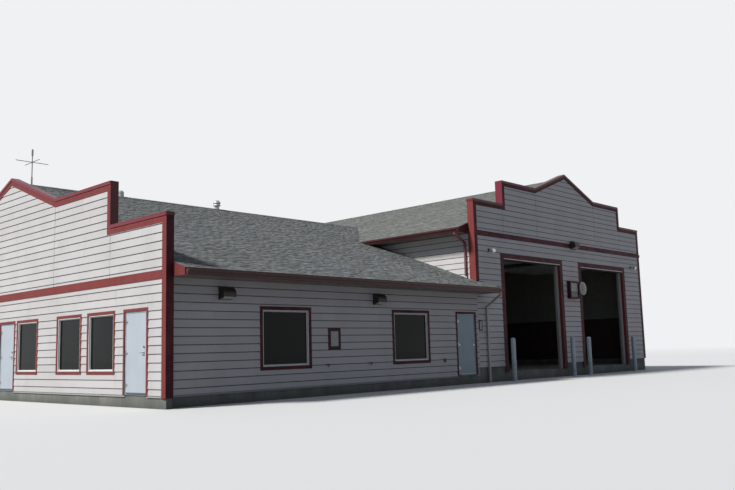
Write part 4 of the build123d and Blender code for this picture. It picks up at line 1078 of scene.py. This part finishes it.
lampParts = {
    "noseShare": 0.24,    # how far a hood's underside climbs to its nose, as a share of the hood's height
    # sections across a hood: out from its wall or nose end, and up from its underside there
    "hoodLens": (("wall", -0.03, 0.016), ("nose", 0.02, -0.006), ("nose", 0.035, -0.039),
                 ("wall", -0.08, 0.014)),
    "cheek": (("wall", 0, 0), ("nose", -0.002, 0), ("nose", -0.002, 0.03), ("wall", 0, 0.05)),
    "lensInset": 0.03,
    "cheekProud": 0.003,
    "cheekThick": 0.012,
    "wallBox": 0.055,
    "floodHead": (0.04, 0.19, 0.03),   # the flood lamp's head: across, out and down
    "floodTurn": (-60, 20),            # degrees down and aside
    "floodWide": 0.078,
    "floodLens": ((0.9, -0.064), (0.86, -0.069), (0.5, -0.077), (0, -0.080)),   # shares of that, and depths
    "floodRim": ((1.05, -0.056), (1.05, -0.068), (0.93, -0.068), (0.93, -0.060)),
}


def makeLamps():
    hoodLenses, lenses, rims, floodRims = (bmesh.new() for _ in range(4))
    inset, proud, thick = lampParts["lensInset"], lampParts["cheekProud"], lampParts["cheekThick"]
    for low, high in solidBoxes("wall_lamps"):
        # the lens hangs in the sloping underside of the hood, between two end plates
        ends = {"wall": (high.y, low.z), "nose": (low.y, low.z + (high.z - low.z) * lampParts["noseShare"])}
        lens, cheek = ([(ends[end][0] + y, ends[end][1] + z) for end, y, z in lampParts[key]]
                       for key in ("hoodLens", "cheek"))
        addPrism(hoodLenses, flat(lens, 0), (low.x + inset, high.x - inset))
        for x in (low.x - proud, high.x - (thick - proud)):
            addPrism(rims, flat(cheek, 0), (x, x + thick))
    wide, wallBox = lampParts["floodWide"], lampParts["wallBox"]
    lens, rim = ([(wide * share, depth) for share, depth in lampParts[key]]
                 for key in ("floodLens", "floodRim"))
    across, out, down = lampParts["floodHead"]
    tilted, aside = (math.radians(angle) for angle in lampParts["floodTurn"])
    for low, high in solidBoxes("flood_lamps"):
        centre = Vector((low.x + wallBox + across, frontY - out, high.z - wallBox - down))
        place = Matrix.Translation(centre) @ Matrix.Rotation(tilted, 4, "X") @ Matrix.Rotation(aside, 4, "Z")
        addTurned(lenses, lens, 24, place)
        addTurned(floodRims, rim, 24, place, hollow=True)
    for bm, name, key in ((hoodLenses, "wall_lamp_lenses", "opal"), (lenses, "flood_lamp_lenses", "lens"),
                          (rims, "lamp_rims", "bronze"), (floodRims, "flood_lamp_rims", "floodPaint")):
        ship(bm, name, key)


makeLamps()
print("lamps glazed")


plateParts = {
    "border": 0.2,         # of the plate's width
    "lift": 0.004,
    "boxBorder": 0.07,
    "boxRecess": 0.03,
    "split": 0.36,         # where the pier box's two panels meet, as a share of their height
    "splitGap": 0.006,
    "proudOfWall": 0.1,    # only the box stands out further
}


def makePlates():   # bare faces on the framed plates, and the two panels inside the pier box
    faces, panels = bmesh.new(), bmesh.new()
    gap = plateParts["splitGap"]
    for low, high in solidBoxes("wall_plates"):
        if frontY - low.y > plateParts["proudOfWall"]:
            border, y = plateParts["boxBorder"], low.y + plateParts["boxRecess"]
            split = low.z + border + (high.z - low.z - 2 * border) * plateParts["split"]
            for bm, foot, top in ((faces, split + gap, high.z - border), (panels, low.z + border, split - gap)):
                addBox(bm, (low.x + border, y, foot), (high.x - border, y + 0.02, top))
        else:
            border = plateParts["border"] * (high.x - low.x)
            addBox(faces, (low.x + border, low.y - plateParts["lift"], low.z + border),
                   (high.x - border, low.y + 0.004, high.z - border))
    ship(faces, "plate_faces", "plateFace", bevel=0.0015)
    ship(panels, "pier_box_panel", "plateDark", bevel=0.0015)


bollardFeet = {   # the ring's closed section, as (past the post's face, up)
    "section": ((-0.002, 0), (0.03, 0), (0.03, 0.012), (0.006, 0.02), (-0.002, 0.024)),
}


def makeBollardFeet():   # a welded ring at the foot of each post
    rings = bmesh.new()
    for low, high in solidBoxes("bollards"):
        middle = (low + high) / 2
        radius = (high.x - low.x) / 2
        addTurned(rings, [(radius + past, up) for past, up in bollardFeet["section"]], 28,
                  Matrix.Translation((middle.x, middle.y, 0)), hollow=True)
    ship(rings, "bollard_feet", "bollard")


spoutStraps = {"tube": (0.076, 0.058), "around": 0.002, "height": 0.03, "toWall": 0.03,
               "longHeights": (0.5, 1.9), "shortHeight": 0.35, "longFrom": 2.5}


def makeSpoutStraps():   # straps round the upright part of each downspout, which ends nearest the wall
    bm = bmesh.new()
    width, depth = spoutStraps["tube"]
    around, toWall = spoutStraps["around"], spoutStraps["toWall"]
    for low, high in solidBoxes("downspouts"):
        isLong = high.z - low.z > spoutStraps["longFrom"]
        x0, x1 = high.x - width - around, high.x + around
        if not isLong:
            y0, y1 = low.y - around, high.y + around
            x1 = high.x + toWall
        elif low.y < 0:
            y0, y1 = high.y - depth - around, high.y + toWall
        else:
            y0, y1 = low.y - toWall, low.y + depth + around
        for z in spoutStraps["longHeights"] if isLong else (spoutStraps["shortHeight"],):
            addBox(bm, (x0, y0, low.z + z), (x1, y1, low.z + z + spoutStraps["height"]))
    ship(bm, "downspout_straps", "spout", bevel=0.001)


endBoards = {"thick": 0.018, "capLip": 0.010, "capHeight": 0.07, "capRise": 0.017, "bevel": 0.002,
             "intoRoof": 0.15, "underRoof": 0.004, "behind": 0.002}


def endFace(names, axis, way):   # the box of a wall's end face, on that side along an axis
    spots = [v.co for name in names for v in nodes[name].data.vertices]
    reach = max(way * spot[axis] for spot in spots)
    return boxOf(spot for spot in spots if way * spot[axis] > reach - 0.001)


def makeEndBoards():   # boards over the end faces of both false fronts, each under a folded cap
    boards, caps = bmesh.new(), bmesh.new()
    facade = ("facade_walls", "facade_false_front", "facade_cap_boards")
    hall = ("hall_front_piers", "hall_false_front", "hall_cap_boards")
    onWingRoof = wingRidge.z + roofPitch * frontY - endBoards["intoRoof"]
    thick, lip = endBoards["thick"], endBoards["capLip"]
    for names, axis, way, foot in ((facade, 1, -1, 0), (facade, 1, 1, 0), (hall, 0, -1, onWingRoof),
                                   (hall, 0, 1, 0)):
        low, high = endFace(names, axis, way)
        low.z = max(low.z, foot)
        edge, top = high[axis], high.z
        low[axis], high[axis] = sorted((edge, edge + way * thick))
        addBox(boards, low, high)
        low[axis], high[axis] = sorted((edge, edge + way * (thick + lip)))
        low[1 - axis] -= lip
        high[1 - axis] += lip
        low.z, high.z = top - endBoards["capHeight"], top + endBoards["capRise"]
        addBox(caps, low, high)
    ship(boards, "false_front_end_boards", "trim", bevel=endBoards["bevel"])
    ship(caps, "false_front_end_caps", "metalTrim", bevel=endBoards["bevel"])


capStrips = {   # along the tops of both false fronts, as heights below their outline
    "lip": (-0.0145, 0.076),    # the metal cap's folded lip
    "lipDepth": (-0.038, -0.02),   # out from the wall face
    "boards": {"facade": (0.12, 0.232), "front": (0.12, 0.19)},   # wider boards, below the mitred ones
    "boardDepth": (-0.02, 0.0),
    "sideBoard": 0.16,             # the upright boards at the steps
    "shortest": 0.1,               # pieces of outline under this are upright
    "aboveFoot": 0.5,              # the outline's corners are looked for from here up
}


def makeCapStrips():
    lips, boards = bmesh.new(), bmesh.new()
    for name, side, middle in (("facade_false_front", "facade", 0.0),
                               ("hall_false_front", "front", hallMiddleX)):
        wall = wallFrames[side] @ Matrix.Translation((middle, 0, 0))
        own = [wall.inverted() @ v.co for v in nodes[name].data.vertices]
        foot = min(v.z for v in own)
        # the right half of the outline, from the peak down
        line = sorted({(round(v.x, 4), round(v.z, 4)) for v in own
                       if abs(v.y) < 0.001 and v.x > -0.001 and v.z > foot + capStrips["aboveFoot"]},
                      key=lambda spot: (spot[0], -spot[1]))
        for (x0, z0), (x1, z1) in zip(line, line[1:]):
            if x1 - x0 < capStrips["shortest"]:
                continue
            # boards run under the upright ones of the step above and stop at those of the next
            start = x0 - (capStrips["sideBoard"] if any(x == x0 and z > z0 for x, z in line) else 0)
            end = x1 - (capStrips["sideBoard"] if any(x == x1 and z < z1 for x, z in line) else 0)
            for bm, left, right, (above, below), depth in (
                    (lips, x0, x1, capStrips["lip"], capStrips["lipDepth"]),
                    (boards, start, end, capStrips["boards"][side], capStrips["boardDepth"])):
                corners = ((left, z0 - above), (right, z1 - above), (right, z1 - below), (left, z0 - below))
                for way in (-1, 1):
                    addPrism(bm, flat([(way * x, z) for x, z in corners], 1, wall), depth)
    ship(lips, "false_front_cap_lips", "metalTrim")
    ship(boards, "false_front_cap_strips", "trim")


def makeEaveEnds():   # boards that close the hall's boxed eaves beside its false front
    bm = bmesh.new()
    thick = endBoards["thick"]
    front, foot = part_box("hall_roof_left")[0].y, hallEaves[0].z
    for inner, outer in ((hallLeftX - thick, hallEaves[0].x), (hallRightX + thick, hallEaves[1].x)):
        section = [(inner, foot), (outer, foot)]
        section += [(x, hallRidge.z - roofPitch * abs(x - hallMiddleX) - endBoards["underRoof"])
                    for x in (outer, inner)]
        addPrism(bm, flat(section, 1), (front - thick, front + endBoards["behind"]))
    ship(bm, "hall_eave_end_boards", "trim", bevel=endBoards["bevel"])


makePlates()
makeBollardFeet()
makeSpoutStraps()
makeEndBoards()
makeCapStrips()
makeEaveEnds()
print("fittings finished")


# the CAD nodes that keep their shape get their finishes
carried = {
    "concrete": ("foundation", "hall_plinth"),
    "wallPaint": ("facade_false_front", "facade_walls", "wing_front_wall", "side_door_lintel",
                  "wing_rear_wall", "hall_front_piers", "hall_false_front", "hall_wall_left",
                  "hall_wall_right", "hall_wall_rear"),
    "deck": ("wing_roof_front", "wing_roof_rear", "hall_roof_left", "hall_roof_right"),
    "eaves": ("wing_eaves", "hall_eaves"),
    "gutter": ("gutters",),
    "spout": ("downspouts",),
    "ceiling": ("ceilings",),
    "trim": ("facade_cap_boards", "hall_cap_boards", "wall_casings", "bay_casings", "corner_boards"),
    "metalTrim": ("facade_cap_flashing", "hall_cap_flashing"),
    "glass": ("window_glass",),
    "sideDoor": ("side_door",),
    "paleDoor": ("near_door", "entrance_door", "far_door"),
    "doorFrame": ("door_frames",),
    "steel": ("door_frame_hinges", "side_door_hardware", "near_door_hardware", "entrance_door_hardware",
              "far_door_hardware"),
    "lining": ("bay_linings",),
    "galvanised": ("bay_door_tracks",),
    "bayDoor": ("bay_doors_raised",),
    "bronze": ("wall_lamps",),
    "floodPaint": ("flood_lamps",),
    "plateFrame": ("wall_plates",),
    "dish": ("round_mirror",),
    "brass": ("wall_taps",),
    "bollard": ("bollards",),
    "aluminium": ("antenna",),
    "ventCap": ("ridge_vents",),
}
for key, names in carried.items():
    for name in names:
        nodes[name].data.materials.clear()
        nodes[name].data.materials.append(finish[key])
print("carried nodes finished:", sum(len(names) for names in carried.values()))


light = {
    "sunFrom": (-0.66, 0.20, 0.72),   # over the left false front, a little behind it
    "sunStrength": 4.2,
    "sunSoftness": 0.20,              # radians across
    "sky": "a9b8d0",                  # what shades are lit by
    "skyStrength": 0.38,
    "backdrop": "f0f1f3",             # what the camera and gloss see
    "floor": "d2d1ce",
    "bounce": "626266",               # what the floor throws back on the building
    "floorRadius": 260,
    "fade": (45.0, 160.0),            # how far out the floor starts and ends turning into the backdrop
}


def seenBy(t):   # the camera's own rays, and all that see the studio: the camera, gloss and glass
    ray = add(t, "ShaderNodeLightPath").outputs
    looked = add(t, "ShaderNodeMath", [ray["Is Camera Ray"], ray["Is Glossy Ray"]], operation="MAXIMUM")
    looked = add(t, "ShaderNodeMath", [looked, ray["Is Transmission Ray"]], operation="MAXIMUM")
    return ray["Is Camera Ray"], looked


def setLight():
    data = bpy.data.lights.new("sun", "SUN")
    data.energy = light["sunStrength"]
    data.angle = light["sunSoftness"]
    newObject("sun", data).rotation_euler = Vector(light["sunFrom"]).to_track_quat("Z", "Y").to_euler()
    world = bpy.data.worlds.new("studio")
    world.use_nodes = True
    bpy.context.scene.world = world
    t = world.node_tree
    t.nodes.clear()
    sky = add(t, "ShaderNodeBackground", {"Color": light["sky"], "Strength": light["skyStrength"]})
    plain = add(t, "ShaderNodeBackground", {"Color": light["backdrop"], "Strength": 1.0})
    both = add(t, "ShaderNodeMixShader", {0: seenBy(t)[1], 1: sky, 2: plain})
    add(t, "ShaderNodeOutputWorld", {"Surface": both})


def setFloor():   # a wide plain floor that fades into the backdrop far away
    bm = bmesh.new()
    bmesh.ops.create_circle(bm, cap_ends=True, segments=64, radius=light["floorRadius"])
    mesh = closeMesh(bm, "floor")
    if mesh.polygons[0].normal.z < 0:
        mesh.flip_normals()
    floor = newObject("studio_floor", mesh)
    material, t, shader = newMaterial("pale_studio_floor", 0.9)
    place = add(t, "ShaderNodeTexCoord").outputs["Object"]
    away = add(t, "ShaderNodeVectorMath", [place], operation="LENGTH").outputs["Value"]
    start, end = light["fade"]
    far = add(t, "ShaderNodeMapRange", {"Value": away, "From Min": start, "From Max": end})
    byCamera, looked = seenBy(t)
    seen = add(t, "ShaderNodeMath", [far, byCamera], operation="MULTIPLY")
    glow = add(t, "ShaderNodeEmission", {"Color": light["backdrop"], "Strength": 1.0})
    feed(t, shader, {"Base Color": coats(t, light["bounce"], (looked, light["floor"]))})
    both = add(t, "ShaderNodeMixShader", {0: seen, 1: shader, 2: glow})
    feed(t, next(n for n in t.nodes if n.type == "OUTPUT_MATERIAL"), {"Surface": both})
    mesh.materials.append(material)


setLight()
setFloor()
bpy.context.scene.view_settings.view_transform = "Standard"
print("light set")
